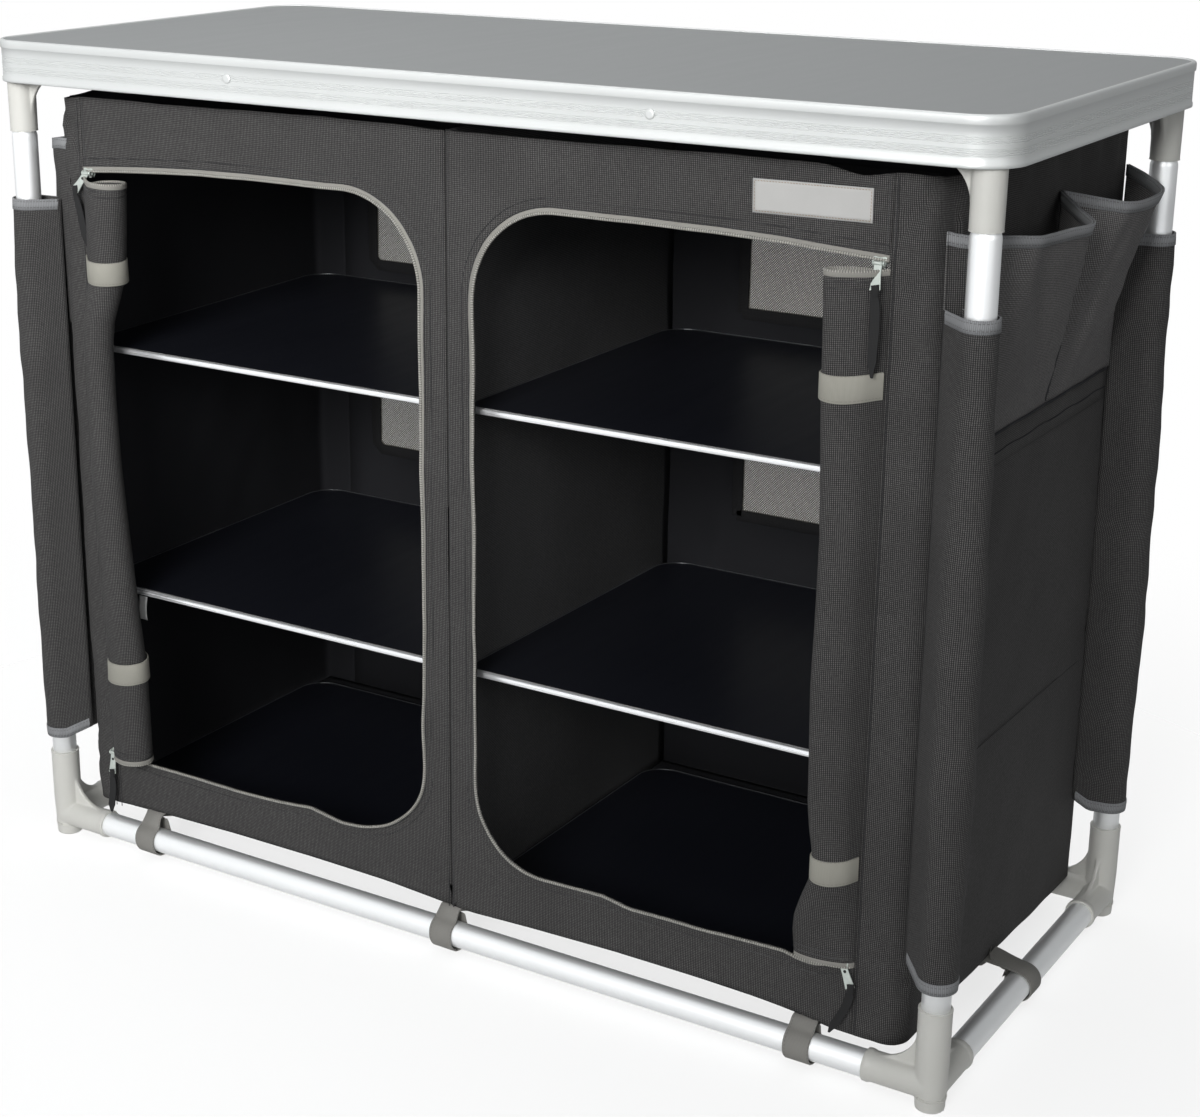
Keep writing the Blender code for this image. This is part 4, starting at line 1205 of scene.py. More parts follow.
@dataclass
class ClothBody:
    """The hanging cloth box: front, sides, back, divider, top and floor."""

    half_x: float = 0.470
    half_y: float = 0.208
    corner: float = 0.022
    back_corner: float = 0.007
    seam_x: float = 0.428
    door_seams: tuple[float, float] = (0.4305, 0.4225)
    base: float = 0.041
    top: float = 0.797
    cloth: float = 0.0016
    post: float = 0.030
    floor_z: float = 0.0478
    open_base: float = 0.102
    open_top: float = 0.7318
    open_radius: float = 0.084
    tapes: tuple[float, float] = (0.0028, 0.0058)
    droops: tuple[float, float] = (0.0098, 0.0078)
    waves: tuple = (
        ((0.090, 0.0040), (0.131, 0.0005), (0.150, 0.0040), (0.171, 0.0075), (0.210, 0.0040),
         (0.268, 0.0020), (0.376, 0.0025), (0.411, 0.0045), (0.433, 0.0053)),
        ((0.065, 0.0000), (0.113, 0.0040), (0.171, 0.0050), (0.199, 0.0000), (0.271, 0.0000),
         (0.320, 0.0030), (0.356, 0.0040), (0.371, 0.0000), (0.384, -0.0008), (0.400, 0.0030),
         (0.409, 0.0065), (0.420, 0.0085)))
    hems: tuple = (
        (-0.470, 0.0450), (-0.427, 0.0495), (-0.360, 0.0518), (-0.270, 0.0540), (-0.170, 0.0545),
        (-0.080, 0.0535), (-0.030, 0.0505), (0.020, 0.0472), (0.087, 0.0500), (0.180, 0.0525),
        (0.270, 0.0523), (0.330, 0.0507), (0.366, 0.0482), (0.397, 0.0430), (0.440, 0.0420),
        (0.462, 0.0406), (0.470, 0.0405))
    window_x: tuple[float, float] = (0.083, 0.388)
    window_z: tuple[tuple[float, float], ...] = ((0.349, 0.505), (0.566, 0.722))
    net_margin: float = 0.009
    stitched: tuple[float, float] = (0.5400, 0.2755)
    opening_points: int = 230
    plan_points: int = 110
    hanger_x: float = 0.379
    creases: tuple = (
        (1.3, 0.778, 0.0050, 0.007), (0.5, 0.712, 0.0040, 0.005), (-0.6, 0.752, 0.0036, 0.006),
        (0.3, 0.655, 0.0024, 0.007), (-1.4, 0.130, 0.0032, 0.006), (0.9, 0.085, 0.0026, 0.006))

    def seam(self, side: Side) -> float:
        """Give how far the seam of a side's door lies from the middle."""
        return self.door_seams[side is Side.RIGHT]

    def face(self, x: np.ndarray, z: np.ndarray) -> np.ndarray:
        """Give the Y of the front cloth's outer face: soft swells between its seams."""
        x, z = np.asarray(x, float), np.asarray(z, float)
        swell = 0.0016 * ripple(x, z, 11, 0.42)
        swell = swell + 0.0007 * ripple(x * 2.2, z, 12, 0.13)
        pull = bumpy(np.abs(x), self.seam_x, 0.03) + bumpy(x, 0, 0.006)
        swell = swell * (1 - 0.8 * np.minimum(pull, 1))
        crease = 0.0013 * bumpy(x, 0, 0.0016)
        return -self.half_y - 0.0006 + swell + crease

    def hem(self, x: np.ndarray) -> np.ndarray:
        """Give the height of the bottom hem."""
        return np.interp(x, *zip(*self.hems))

    def crown(self, x: np.ndarray) -> np.ndarray:
        """Give the height of the top hem, with its slack near the right corner."""
        slack = 0.0055 * bumpy(x, 0.395, 0.022) + 0.004 * bumpy(x, -0.455, 0.02)
        return self.top - 0.0015 * (1 + ripple(x, x * 0, 31, 0.34)) - slack

    def opening(self, side: Side, offset: float = 0.0) -> np.ndarray:
        """Give an opening's edge from its outer top corner round to its outer bottom one.

        Args:
            side: which door.
            offset: how far outside the opening the line lies.

        Returns:
            Rows of X and Z.
        """
        r = self.open_radius + offset
        left = self.post - offset
        top, base = self.open_top + offset, self.open_base - offset
        end = self.seam(side) - 0.001
        path = [(end, top)] + arc(left + r, top - r, r, 90, 180, 20)
        path += arc(left + r, base + r, r, 180, 270, 20) + [(end, base)]
        line = resample(path, self.opening_points)
        share = np.linspace(0, 1, len(line))
        wander = 0.0013 * ripple(share * 1.4, share * 0, 40 + side.value, 0.23)
        wander *= np.minimum(1, 12 * np.minimum(share, 1 - share))
        line = line + normals(line) * wander[:, None] * 0.5
        reach = np.clip((line[:, 0] - 0.22) / 0.20, 0, 1.1)
        upper = np.clip((line[:, 1] - 0.60) / 0.05, 0, 1)
        lower = np.clip((0.16 - line[:, 1]) / 0.04, 0, 1)
        right = side is Side.RIGHT
        line[:, 1] += lower * np.interp(line[:, 0], *zip(*self.waves[right]))
        line[:, 1] -= upper * self.droops[right] * reach ** 1.6
        line[:, 0] *= side.value
        return line

    def build(self, finishes: Finishes) -> None:
        """Build the whole cloth body."""
        self.front(finishes)
        self.zip_tapes(finishes)
        self.back(finishes)
        for side in Side:
            self.wall(finishes, side)
            self.net(finishes, side)
        self.divider(finishes)
        self.floor_and_top(finishes)
        self.seams(finishes)

    def front(self, finishes: Finishes) -> None:
        """Build the front as bands that run from each opening's edge to the outer hems."""
        rings, parts = 11, []
        bend, brim, ease = 0.66, 0.999, 0.025
        for side in Side:
            edge = self.opening(side)
            edge[:, 0] *= side.value
            top, base = self.open_top - self.open_radius, self.open_base + self.open_radius
            seam, turn = self.seam(side), self.post + self.open_radius * 0.30
            outer = np.zeros_like(edge)
            for i, (x, z) in enumerate(edge):
                if base < z < top:
                    outer[i] = (0, np.interp(z, [base, top], [-bend, bend]))
                elif x > turn:
                    hem = 1 if z >= top else -1
                    outer[i] = (np.interp(x, [turn, seam - 0.001], [0, seam]), hem)
                elif z >= top:
                    outer[i] = (0, np.interp(z, [top, self.open_top - ease], [bend, brim]))
                else:
                    outer[i] = (0, -np.interp(z, [self.open_base + ease, base], [brim, bend]))
            x = outer[:, 0]
            middle, span = (self.top + self.base) / 2, (self.top - self.base) / 2
            high, low = self.crown(x * side.value), self.hem(x * side.value)
            z = middle + outer[:, 1] * span
            z = np.where(outer[:, 1] >= brim, high, np.where(outer[:, 1] <= -brim, low, z))
            outer = np.stack([x, z], axis=1)
            share = np.linspace(0, 1, rings)[:, None, None]
            flat = edge[None] * (1 - share) + outer[None] * share
            flat[:, :, 0] *= side.value
            y = self.face(flat[:, :, 0], flat[:, :, 1]) + self.cloth / 2
            points = np.stack([flat[:, :, 0], y, flat[:, :, 1]], axis=2)
            parts.append(grid_mesh("front_half", points, finishes.cloth, uv=flat))
        cloth = merge("front_cloth", *parts)
        weld(cloth, 0.0004)
        thicken(cloth, self.cloth)
        cloth.data.shade_smooth()
        place(cloth, Body.FRAME, "cloth", "body_front_panel")

    def on_face(self, line: np.ndarray, lift: float) -> np.ndarray:
        """Lay a flat line of X and Z on the front cloth's outer face."""
        y = self.face(line[:, 0], line[:, 1]) - lift
        return np.stack([line[:, 0], y, line[:, 1]], axis=1)

    def zip_tapes(self, finishes: Finishes) -> None:
        """Build each opening's grey tape, its coil of teeth and two black thread lines outside it:
        a thick one at the tape's edge, which is painted shade of the folded cloth, and a sewn line
        further out.
        """
        out = (0, -1, 0)
        offset = 0.005
        for side in Side:
            edge, beyond = self.opening(side), self.opening(side, offset)
            way = (beyond - edge) / offset
            width = np.interp(edge[:, 1], [0.25, 0.66], self.tapes)[:, None]
            tape = grid_mesh("tape", np.stack([self.on_face(edge + way * width * share, 0.0003)
                                               for share in (0.0, 0.5, 1.0)]), finishes.tape)
            thicken(tape, 0.0008)
            teeth = sweep("teeth", self.on_face(edge + way * 0.0012, 0.0008),
                          disc(0.0014, 8), out, finishes.teeth)
            # The first line is a thick black thread rod laid at the tape's edge as painted shade of
            # the folded cloth; the second is a sewn line.
            lines = [sew(self.on_face(edge + way * (width + apart), 0.0001), out, finishes, thick)
                     for apart, thick in ((0.0006, 0.0007), (0.0078, 0.00045))]
            obj = merge(f"zip_tape_{side.word}", tape, teeth, *lines)
            place(obj, Body.FRAME, "zip")

    def plan(self, side: Side) -> np.ndarray:
        """Give the side cloth's plan from the front seam round to the back seam."""
        path = [(self.seam(side), -self.half_y)]
        path += arc(self.half_x - self.corner, self.corner - self.half_y, self.corner, 270, 360, 10)
        path += arc(self.half_x - self.back_corner, self.half_y - self.back_corner,
                    self.back_corner, 0, 90, 8)
        line = resample(path + [(self.seam_x, self.half_y)], self.plan_points)
        line[:, 0] *= side.value
        return line

    def wall(self, finishes: Finishes, side: Side) -> None:
        """Build one side with the corner strips that wrap to the front and the back."""
        line = self.plan(side)
        x, y = line.T
        normal = normals(line) * side.value
        u, t = np.meshgrid(travelled(line), np.linspace(0, 1, 84))
        near_front = np.clip((np.abs(x) - self.seam_x) / (self.half_x - self.seam_x), 0, 1)
        near_front = near_front * np.clip(0.6 - y / self.half_y, 0, 1)
        low = self.hem(x) - 0.0045 * np.clip(y / self.half_y, 0, 1)
        high = self.crown(x) - 0.003 * near_front * (0.4 + 0.6 * np.sin(u[0] * 31) ** 2)
        z = low[None] + (high - low)[None] * t
        push = self.wall_push(side, u, z, t, y)
        inward = -0.005 * bumpy(t, 1.0, 0.03) * near_front[None]
        inward = inward - 0.003 * bumpy(t, 0.0, 0.025) * near_front[None]
        push = push + inward
        points = np.stack([x[None] + normal[None, :, 0] * push, y[None] + normal[None, :, 1] * push,
                           z], axis=2)
        obj = grid_mesh(f"side_cloth_{side.word}", points, finishes.cloth,
                        uv=layers(u, z))
        thicken(obj, self.cloth, -0.2 * side.value)
        line_inside(obj, finishes.lining, side.value)
        place(obj, Body.FRAME, "cloth", f"body_side_{side.word}")

    def wall_push(
        self, side: Side, u: np.ndarray, z: np.ndarray, t: np.ndarray, y: np.ndarray
    ) -> np.ndarray:
        """Give how far a side cloth stands out from its plan: swells, folds and creases.

        Args:
            side: which side.
            u: the distance along the plan from the front seam.
            z: the height.
            t: the share of the way up.
            y: the plan's Y, one value for each column.

        Returns:
            The distance outward at each place.
        """
        total = u[0, -1]
        swell = 0.0020 * ripple(u, z, 50 + side.value, 0.36, 8) * (1 - 0.7 * bumpy(t, 0.0, 0.12))
        folds = 0.0017 * np.sin(u * TAU / 0.055 + 4 * t + side.value) * bumpy(t, 1.0, 0.10)
        folds = folds + 0.0003 * np.sin(u * TAU / 0.07 + 2) * bumpy(t, 0.0, 0.08)
        strip_fold = bumpy(u, 0.046, 0.018) + 0.12 * bumpy(u, total - 0.046, 0.018)
        crease = -0.0022 * strip_fold * bumpy(t, 1.0, 0.12) * 3 + 0.0018 * strip_fold * ripple(
            u * 0, z, 60, 0.22)
        front_strip = np.clip((0.075 - u) / 0.03, 0, 1)
        for slope, level, depth, wide in self.creases:
            crease = crease - depth * front_strip * bumpy(z - slope * (u - 0.03), level, wide)
        middle = np.clip((u - 0.06) / 0.05, 0, 1) * np.clip((total - 0.06 - u) / 0.05, 0, 1)
        seam = -0.0010 * middle * (bumpy(z, 0.537, 0.003) + bumpy(z, 0.278, 0.003))
        edge = np.minimum(np.clip(u / 0.012, 0, 1), np.clip((total - u) / 0.012, 0, 1))
        behind = np.interp(z, [0.50, 0.54, 0.755, 0.775], [-0.006, -0.0006, -0.0006, -0.006])
        pocket = np.interp(z, [0.48, 0.53, 0.755, 0.775], [0, 1, 1, 0])
        sleeve = np.clip((np.abs(y) - 0.13) / 0.03, 0, 1)
        least = np.where(middle > 0, behind, np.where(y > 0.12, -0.0010, -0.006))
        return np.clip((swell + folds + crease) * edge + seam, least,
                       0.0026 - 0.0022 * np.maximum(pocket, sleeve))

    def rear(self, x: np.ndarray, z: np.ndarray) -> np.ndarray:
        """Give the Y of the middle of the back cloth, which the nets share."""
        return self.half_y - 0.0004 - 0.0009 * np.maximum(ripple(x, z, 70, 0.6, 3), -0.2)

    def back(self, finishes: Finishes) -> None:
        """Build the back cloth with its four window openings."""
        xs = sorted({0.0, self.seam_x, *self.window_x, 0.05, 0.15, 0.20, 0.25, 0.30, 0.34, 0.41})
        xs = sorted({*xs, *(-x for x in xs)})
        zs = {self.base, self.top, 0.10, 0.16, 0.22, 0.28, 0.54, 0.76}
        for low, high in self.window_z:
            zs |= {low, high, *np.linspace(low, high, 4)}
        zs = sorted(zs)
        x, z = np.meshgrid(xs, zs)

        def keep(row: int, column: int) -> bool:
            """Say whether a patch lies outside the windows."""
            mid_x, mid_z = (xs[column] + xs[column + 1]) / 2, (zs[row] + zs[row + 1]) / 2
            inside_x = self.window_x[0] < abs(mid_x) < self.window_x[1]
            return not (inside_x and any(low < mid_z < high for low, high in self.window_z))

        obj = grid_mesh("back_cloth", layers(x, self.rear(x, z), z), finishes.lining,
                        uv=layers(x, z), keep=keep)
        thicken(obj, self.cloth)
        place(obj, Body.FRAME, "lining", "body_back_panel")

    def net(self, finishes: Finishes, side: Side) -> None:
        """Build one side's nets with a dark border round each window, inside and outside."""
        low_x, high_x = self.window_x
        margin = self.net_margin
        zs = np.linspace(self.window_z[0][0] - margin, self.window_z[1][1] + margin, 24)
        xs = np.linspace(low_x - margin, high_x + margin, 20)
        x, z = np.meshgrid(xs * side.value, zs)
        net = grid_mesh(f"net_windows_{side.word}", layers(x, self.rear(x, z), z),
                        finishes.net, uv=layers(x, z))
        borders = []
        for low_z, high_z in self.window_z:
            ring = resample([(low_x, low_z), (high_x, low_z), (high_x, high_z), (low_x, high_z),
                             (low_x, low_z)], 60) * (side.value, 1)
            for inner, way in ((-0.0013, -1), (0.0011, 1)):
                path = np.array([(px, self.rear(px, pz) + inner, pz) for px, pz in ring])
                borders.append(sweep("border", path, strip(0.0008, 0.012), (0, way, 0),
                                     finishes.dark_binding))
        place(merge(f"window_borders_{side.word}", *borders), Body.FRAME, "lining")
        place(net, Body.FRAME, "net", f"window_net_{side.word}")

    def divider(self, finishes: Finishes) -> None:
        """Build the cloth between the two columns."""
        y = np.linspace(-self.half_y + 0.002, self.half_y - 0.002, 30)
        z = np.linspace(self.base + 0.002, self.top - 0.002, 50)
        y, z = np.meshgrid(y, z)
        x = 0.0012 * ripple(y, z, 90, 0.3)
        divider = grid_mesh("divider_cloth", layers(x, y, z), finishes.inner_cloth, layers(y, z))
        thicken(divider, self.cloth)
        place(divider, Body.FRAME, "lining", "body_divider")

    def floor_and_top(self, finishes: Finishes) -> None:
        """Build the floor cloth and the slack black top with its hidden straps."""
        half_x, half_y = self.half_x - 0.005, self.half_y - 0.002
        x, y = np.meshgrid(np.linspace(-half_x, half_x, 60), np.linspace(-half_y, half_y, 60))
        lip = np.clip((-y - 0.190) / 0.012, 0, 1)
        z = self.floor_z + (self.hem(x) - 0.0004 - self.floor_z) * lip
        turn_x, turn_y, radius = 0.446, 0.184, 0.0195
        past_x, past_y = np.maximum(np.abs(x) - turn_x, 0), np.maximum(-y - turn_y, 0)
        pull = radius / np.maximum(np.hypot(past_x, past_y), radius)
        x = np.where(past_x * past_y > 0, np.sign(x) * (turn_x + past_x * pull), x)
        y = np.where(past_x * past_y > 0, -turn_y - past_y * pull, y)
        floor = grid_mesh("floor_cloth", layers(x, y, z), finishes.lining)
        thicken(floor, self.cloth, -1)
        place(floor, Body.FRAME, "lining", "body_floor_panel")

        rise = 0.0042 * np.clip(np.abs(y) / half_y, 0, 1) ** 6 + 0.0016 * ripple(x, y, 95, 0.3)
        z = self.top + 0.0030 + rise
        top = grid_mesh("top", layers(x, y, z), finishes.lining)
        thicken(top, self.cloth)
        hangers = [self.hanger(finishes, px, end.value, True)
                   for end in End for px in (-self.hanger_x, 0.0, self.hanger_x)]
        hangers += [self.hanger(finishes, 0.0, side.value, False) for side in Side]
        obj = merge("top_cloth", top, *hangers)
        place(obj, Body.FRAME, "lining", "body_top_panel")

    def hanger(
        self, finishes: Finishes, along: float, sign: int, long_rail: bool
    ) -> Piece:
        """Build one hidden strap from the top cloth round an upper rail.

        Args:
            finishes: the materials.
            along: where it lies along the rail.
            sign: which way is outward.
            long_rail: whether the rail runs along X.

        Returns:
            The strap.
        """
        depth, wall = (LEG_Y, 0.205) if long_rail else (LEG_X, 0.466)
        ring = arc(0, 0, LOOP_RADIUS, 200, -160, 24)
        level = self.top - UPPER_RAIL_Z
        path = [(wall - depth, level + 0.004)] + ring[2:-2] + [(wall - depth, level + 0.0055)]
        path = np.array([(sign * (depth + u), along, UPPER_RAIL_Z + v) for u, v in path])
        out = path - (sign * depth, along, UPPER_RAIL_Z)
        if long_rail:
            path, out = path[:, [1, 0, 2]], out[:, [1, 0, 2]]
        return sweep("hanger", path, strip(0.0011, LOOP_WIDTH), out, finishes.loop)

    def seams(self, finishes: Finishes) -> None:
        """Build the sewn lines of the front and the sides."""
        z = np.linspace(self.base + 0.004, self.top - 0.006, 90)
        for side in Side:
            lines = []
            seam = self.seam(side)
            for x in (seam - 0.0035, seam + 0.0035):
                line = np.stack([np.full_like(z, side.value * x), z], axis=1)
                path = self.on_face(line, 0.0)
                path[:, 1] = -self.half_y - 0.0008 if x > seam else path[:, 1]
                lines.append(sew(path, (0, -1, 0), finishes))
            centre = np.stack([np.full_like(z, side.value * 0.0026), z], axis=1)
            lines.append(sew(self.on_face(centre, 0.0), (0, -1, 0), finishes, 0.0004))
            y = np.linspace(-0.183, 0.183, 60)
            for height in self.stitched:
                path = np.stack([np.full_like(y, side.value * (self.half_x + 0.0004)), y,
                                 np.full_like(y, height)], axis=1)
                lines.append(sew(path, (side.value, 0, 0), finishes))
            place(merge(f"sewn_lines_{side.word}", *lines), Body.FRAME, "cloth")


@dataclass
class Sleeves:
    """The cloth sleeves sewn to the body's corners, one round each leg."""

    leg_x: float = LEG_X
    leg_y: float = LEG_Y
    radius: float = 0.0144
    belly: float = 0.0036
    low: float = 0.1155
    high: float = 0.6910
    rise: float = 0.0115
    cloth: float = 0.0014
    binding: float = 0.0105
    first: tuple[float, float] = (0.4672, -0.2042)
    last: tuple[float, float] = (0.4707, -0.1935)
    back_first: tuple[float, float] = (0.4692, -0.2048)
    plan_points: int = 34

    def plan(self, end: End, radius: float) -> np.ndarray:
        """Give one sleeve's plan, from the body's corner round the leg to the side wall."""
        first = np.array(self.first if end is End.FRONT else self.back_first)
        last = np.array(self.last)
        leg = np.array((self.leg_x, -self.leg_y))

        def tangent(point: np.ndarray, turn: int) -> float:
            """Give the angle at which a straight run from a point meets the sleeve."""
            away = point - leg
            return math.atan2(away[1], away[0]) + turn * math.acos(
                radius / float(np.linalg.norm(away)))

        ring = [(leg[0] + radius * math.cos(a), leg[1] + radius * math.sin(a))
                for a in np.linspace(tangent(first, 1), tangent(last, -1) + TAU, 22)]
        return resample([tuple(first), *ring, tuple(last)], self.plan_points)

    def surface(self, side: Side, end: End, lift: float, heights: np.ndarray) -> np.ndarray:
        """Give a sleeve's points, row by row.

        Args:
            side: which side.
            end: front or back.
            lift: how far outside the cloth's middle the points lie.
            heights: shares of the way up.

        Returns:
            Rows by columns by three.
        """
        seed = 100 + 10 * side.value + end.value
        rows = []
        for t in heights:
            flare = 0.0014 * bumpy(t, 0.0, 0.04) + 0.0003 * bumpy(t, 1.0, 0.04)
            flare += self.belly * math.sin(math.pi * min(max(t, 0.0), 1.0)) ** 0.6
            line = self.plan(end, self.radius + float(flare) + lift)
            s = np.linspace(0, 1, len(line))
            lean = np.sin(s * math.pi)
            depth = 0.35 + 0.65 * math.sin(t * 9 + seed) ** 2
            fold = 0.0011 * np.sin(s * 17 + 5 * t + seed) * depth
            fold = fold + 0.0013 * ripple(s * 0.1, np.full_like(s, t * 0.57), seed, 0.16)
            fold *= lean * (1 - 0.75 * max(bumpy(t, 0.0, 0.03), bumpy(t, 1.0, 0.03)))
            away = line - np.array((self.leg_x, -self.leg_y))
            away /= np.linalg.norm(away, axis=1)[:, None]
            line = line + away * np.clip(fold, -0.003, 0.0018)[:, None]
            near = np.clip(1 - (line[:, 0] - self.first[0]) / 0.020, 0, 1)
            z = self.low + (self.high - self.low) * t + near * self.rise * (1 - t)
            rows.append(np.stack([side.value * line[:, 0], -end.value * line[:, 1], z], axis=1))
        return np.array(rows)

    def build(self, finishes: Finishes) -> None:
        """Build the four sleeves and their bindings."""
        tall = self.high - self.low
        for side in Side:
            for end in End:
                points = self.surface(side, end, 0.0, np.linspace(0, 1, 60))
                parts = [thicken(grid_mesh("cloth", points, finishes.cloth), self.cloth)]
                for t, rise in ((0.0, self.binding), (1.0, -self.binding)):
                    share = rise / tall
                    heights = np.array([t - share * 0.03, t + share / 2, t + share])
                    band = grid_mesh("band", self.surface(side, end, 0.0009, heights),
                                     finishes.binding)
                    tape_uv(band, self.binding)
                    parts.append(thicken(band, 0.0012))
                obj = merge(f"leg_sleeve_{end.word}_{side.word}", *parts)
                obj.data.shade_smooth()
                place(obj, Body.FRAME, "cloth")


@dataclass
class SidePockets:
    """The pair of pleated open pockets on each side."""

    wall: float = 0.4718
    rim: float = 0.7515
    base: float = 0.566
    sag: float = 0.0112
    reach: float = 0.5265
    cloth: float = 0.0014
    binding: float = 0.0098
    front: tuple = ((0.4625, -0.2050), (0.4830, -0.2000), (0.4940, -0.1840), (0.5010, -0.1620),
                    (0.5180, -0.1330), (0.5205, -0.1020), (0.5240, -0.0700), (0.5262, -0.0580),
                    (0.5268, -0.0480), (0.5250, -0.0400), (0.5205, -0.0330), (0.5120, -0.0225),
                    (0.5010, -0.0085), (0.4860, 0.0120), (0.4725, 0.0290))
    rear: tuple = ((0.4722, 0.0310), (0.4860, 0.0385), (0.5030, 0.0490), (0.5190, 0.0610),
                   (0.5255, 0.0760), (0.5264, 0.1020), (0.5258, 0.1330), (0.5190, 0.1540),
                   (0.5080, 0.1710), (0.4930, 0.1870), (0.4800, 0.1975), (0.4712, 0.2030))
    front_base: tuple = ((0.0, -0.2030), (0.15, -0.1850), (0.66, 0.0235), (1.0, 0.0245))
    rear_base: tuple = ((0.0, 0.0270), (0.12, 0.0275), (1.0, 0.1930))
    round_at: tuple[float, float] = (0.448, -0.186)
    round_radius: float = 0.024
    round_depth: float = 0.0185
    tucks: tuple[float, float] = (0.005, -0.0025)
    seam_y: tuple[float, float] = (-0.186, 0.184)
    stitched: tuple[float, float] = (0.5480, 0.5655)
    plain_faces: int = 9
    columns: int = 64

    def surface(self, first: bool, side: Side, lift: float, heights: np.ndarray) -> np.ndarray:
        """Give one pocket's points between its base and its rim.

        Args:
            first: whether it is the front pocket, whose rear edge folds in to a pleat.
            side: which side.
            lift: how far outside the cloth the points lie.
            heights: shares of the way up.

        Returns:
            Rows by columns by three.
        """
        line = smooth_path(self.front if first else self.rear, self.columns, 2)
        normal = normals(line)
        s = np.linspace(0, 1, len(line))
        reach = np.clip((line[:, 0] - self.wall) / (self.reach - self.wall), 0, 1)
        ends = np.minimum(1, np.minimum(s, 1 - s) / 0.08)
        base_y = np.interp(s, *zip(*(self.front_base if first else self.rear_base)))
        seed = 201 if first else 202
        hold = np.clip(1 - s / 0.12, 0, 1) * first
        tuck = self.tucks[side is Side.RIGHT]
        radius = self.round_radius - tuck * np.clip(1 - s / 0.04, 0, 1)
        rows = []
        for t in heights:
            full = min(t, 1.0)
            belly = math.sin(full * math.pi)
            bulge = 0.80 * min(1.0, full / 0.6) ** 0.5 if first and side is Side.LEFT else full
            x = self.wall + (line[:, 0] - self.wall) * bulge
            y = base_y + (line[:, 1] - base_y) * full
            past = np.clip(self.round_at[1] - y, 0, self.round_depth)
            corner = self.round_at[0] + np.sqrt(radius ** 2 - past ** 2)
            x = x + (corner - x) * hold
            crease = 0.0016 * ripple(s * 0.2, np.full_like(s, t * 0.2), seed, 0.15)
            if first:
                crease -= 0.0058 * bumpy(s, 0.40 + 0.20 * (1 - t), 0.055) * belly ** 0.8
            else:
                crease -= 0.0050 * bumpy(s, 0.34 - 0.10 * (1 - t), 0.05) * belly ** 0.8
                crease -= 0.0030 * bumpy(s, 0.72, 0.06) * belly
            push = np.clip(crease, -0.0065, 0.0010) * ends * min(1.0, 6 * t + 0.05) + lift
            z = self.base + (self.rim - self.base) * t - self.sag * reach * t
            near = np.where(hold > 0, corner - 0.0006, self.wall - 0.0012) + lift * 0.6
            x = np.maximum(x + normal[:, 0] * push, near)
            rows.append(np.stack([side.value * x, y + normal[:, 1] * push, z], axis=1))
        return np.array(rows)

    def build(self, finishes: Finishes) -> None:
        """Build both sides' pockets, bindings, the seam they hang from and a black strip of painted
        shadow in the groove between the pockets.
        """
        for side in Side:
            parts, flat = [], 0.0
            for first in (True, False):
                points = self.surface(first, side, 0.0, np.linspace(0, 1, 34))
                # The pockets wear the lighter copy of the dotted cloth, whose extra brightness is
                # painted light; the front pocket's first faces by the body keep the plain cloth.
                pocket = grid_mesh("cloth", points, finishes.pocket_cloth)
                pocket.data.materials.append(finishes.cloth)
                faces = np.arange(len(pocket.data.polygons)) % (self.columns - 1)
                pocket.data.polygons.foreach_set(
                    "material_index", (first * (faces < self.plain_faces)).astype(np.int32))
                parts.append(thicken(pocket, self.cloth))
                flat += length(points[17])
                share = self.binding / (self.rim - self.base)
                heights = np.array([1 - share, 1 - share / 2, 1.003])
                for lift in (0.0011, -0.0011):
                    band = grid_mesh("band", self.surface(first, side, lift, heights),
                                     finishes.binding)
                    tape_uv(band, self.binding)
                    parts.append(thicken(band, 0.0010))
            y = np.linspace(*self.seam_y, 40)
            skirt = np.array([[(side.value * (self.wall - 0.0002), py, pz) for py in y]
                              for pz in (0.537, 0.548, self.base + 0.001)])
            parts.append(thicken(grid_mesh("skirt", skirt, finishes.cloth), self.cloth))
            # Painted shadow: a thin sheet of black lining along the fold between the two pockets
            # stands for the shade in the groove there.
            t = np.linspace(0.02, 0.34, 20)
            width = 0.0046 * np.sin(np.linspace(0, 1, 20) ** 0.7 * math.pi) + 0.0004
            fold = np.stack([self.wall + 0.0012 + 0.0545 * t, 0.0236 - 0.066 * t,
                             self.base + 0.176 * t], axis=1)
            slit = np.array([(fold + np.outer(width * k, (-0.1, -1.0, 0))) * (side.value, 1, 1)
                             for k in (0.0, 1.0)])
            parts.append(thicken(grid_mesh("slit", slit, finishes.lining), 0.0006))
            for height, thick in zip(self.stitched, (0.00055, 0.0012)):
                path = np.stack([np.full_like(y, side.value * (self.wall + 0.0008)), y,
                                 height + 0.0006 * np.sin(y * 90)], axis=1)
                parts.append(sweep("seam", path, disc(thick, 6), (side.value, 0, 0),
                                   finishes.lining))
            obj = merge(f"pocket_pair_{side.word}", *parts)
            place(obj, Body.FRAME, "cloth", f"side_pockets_{side.word}")


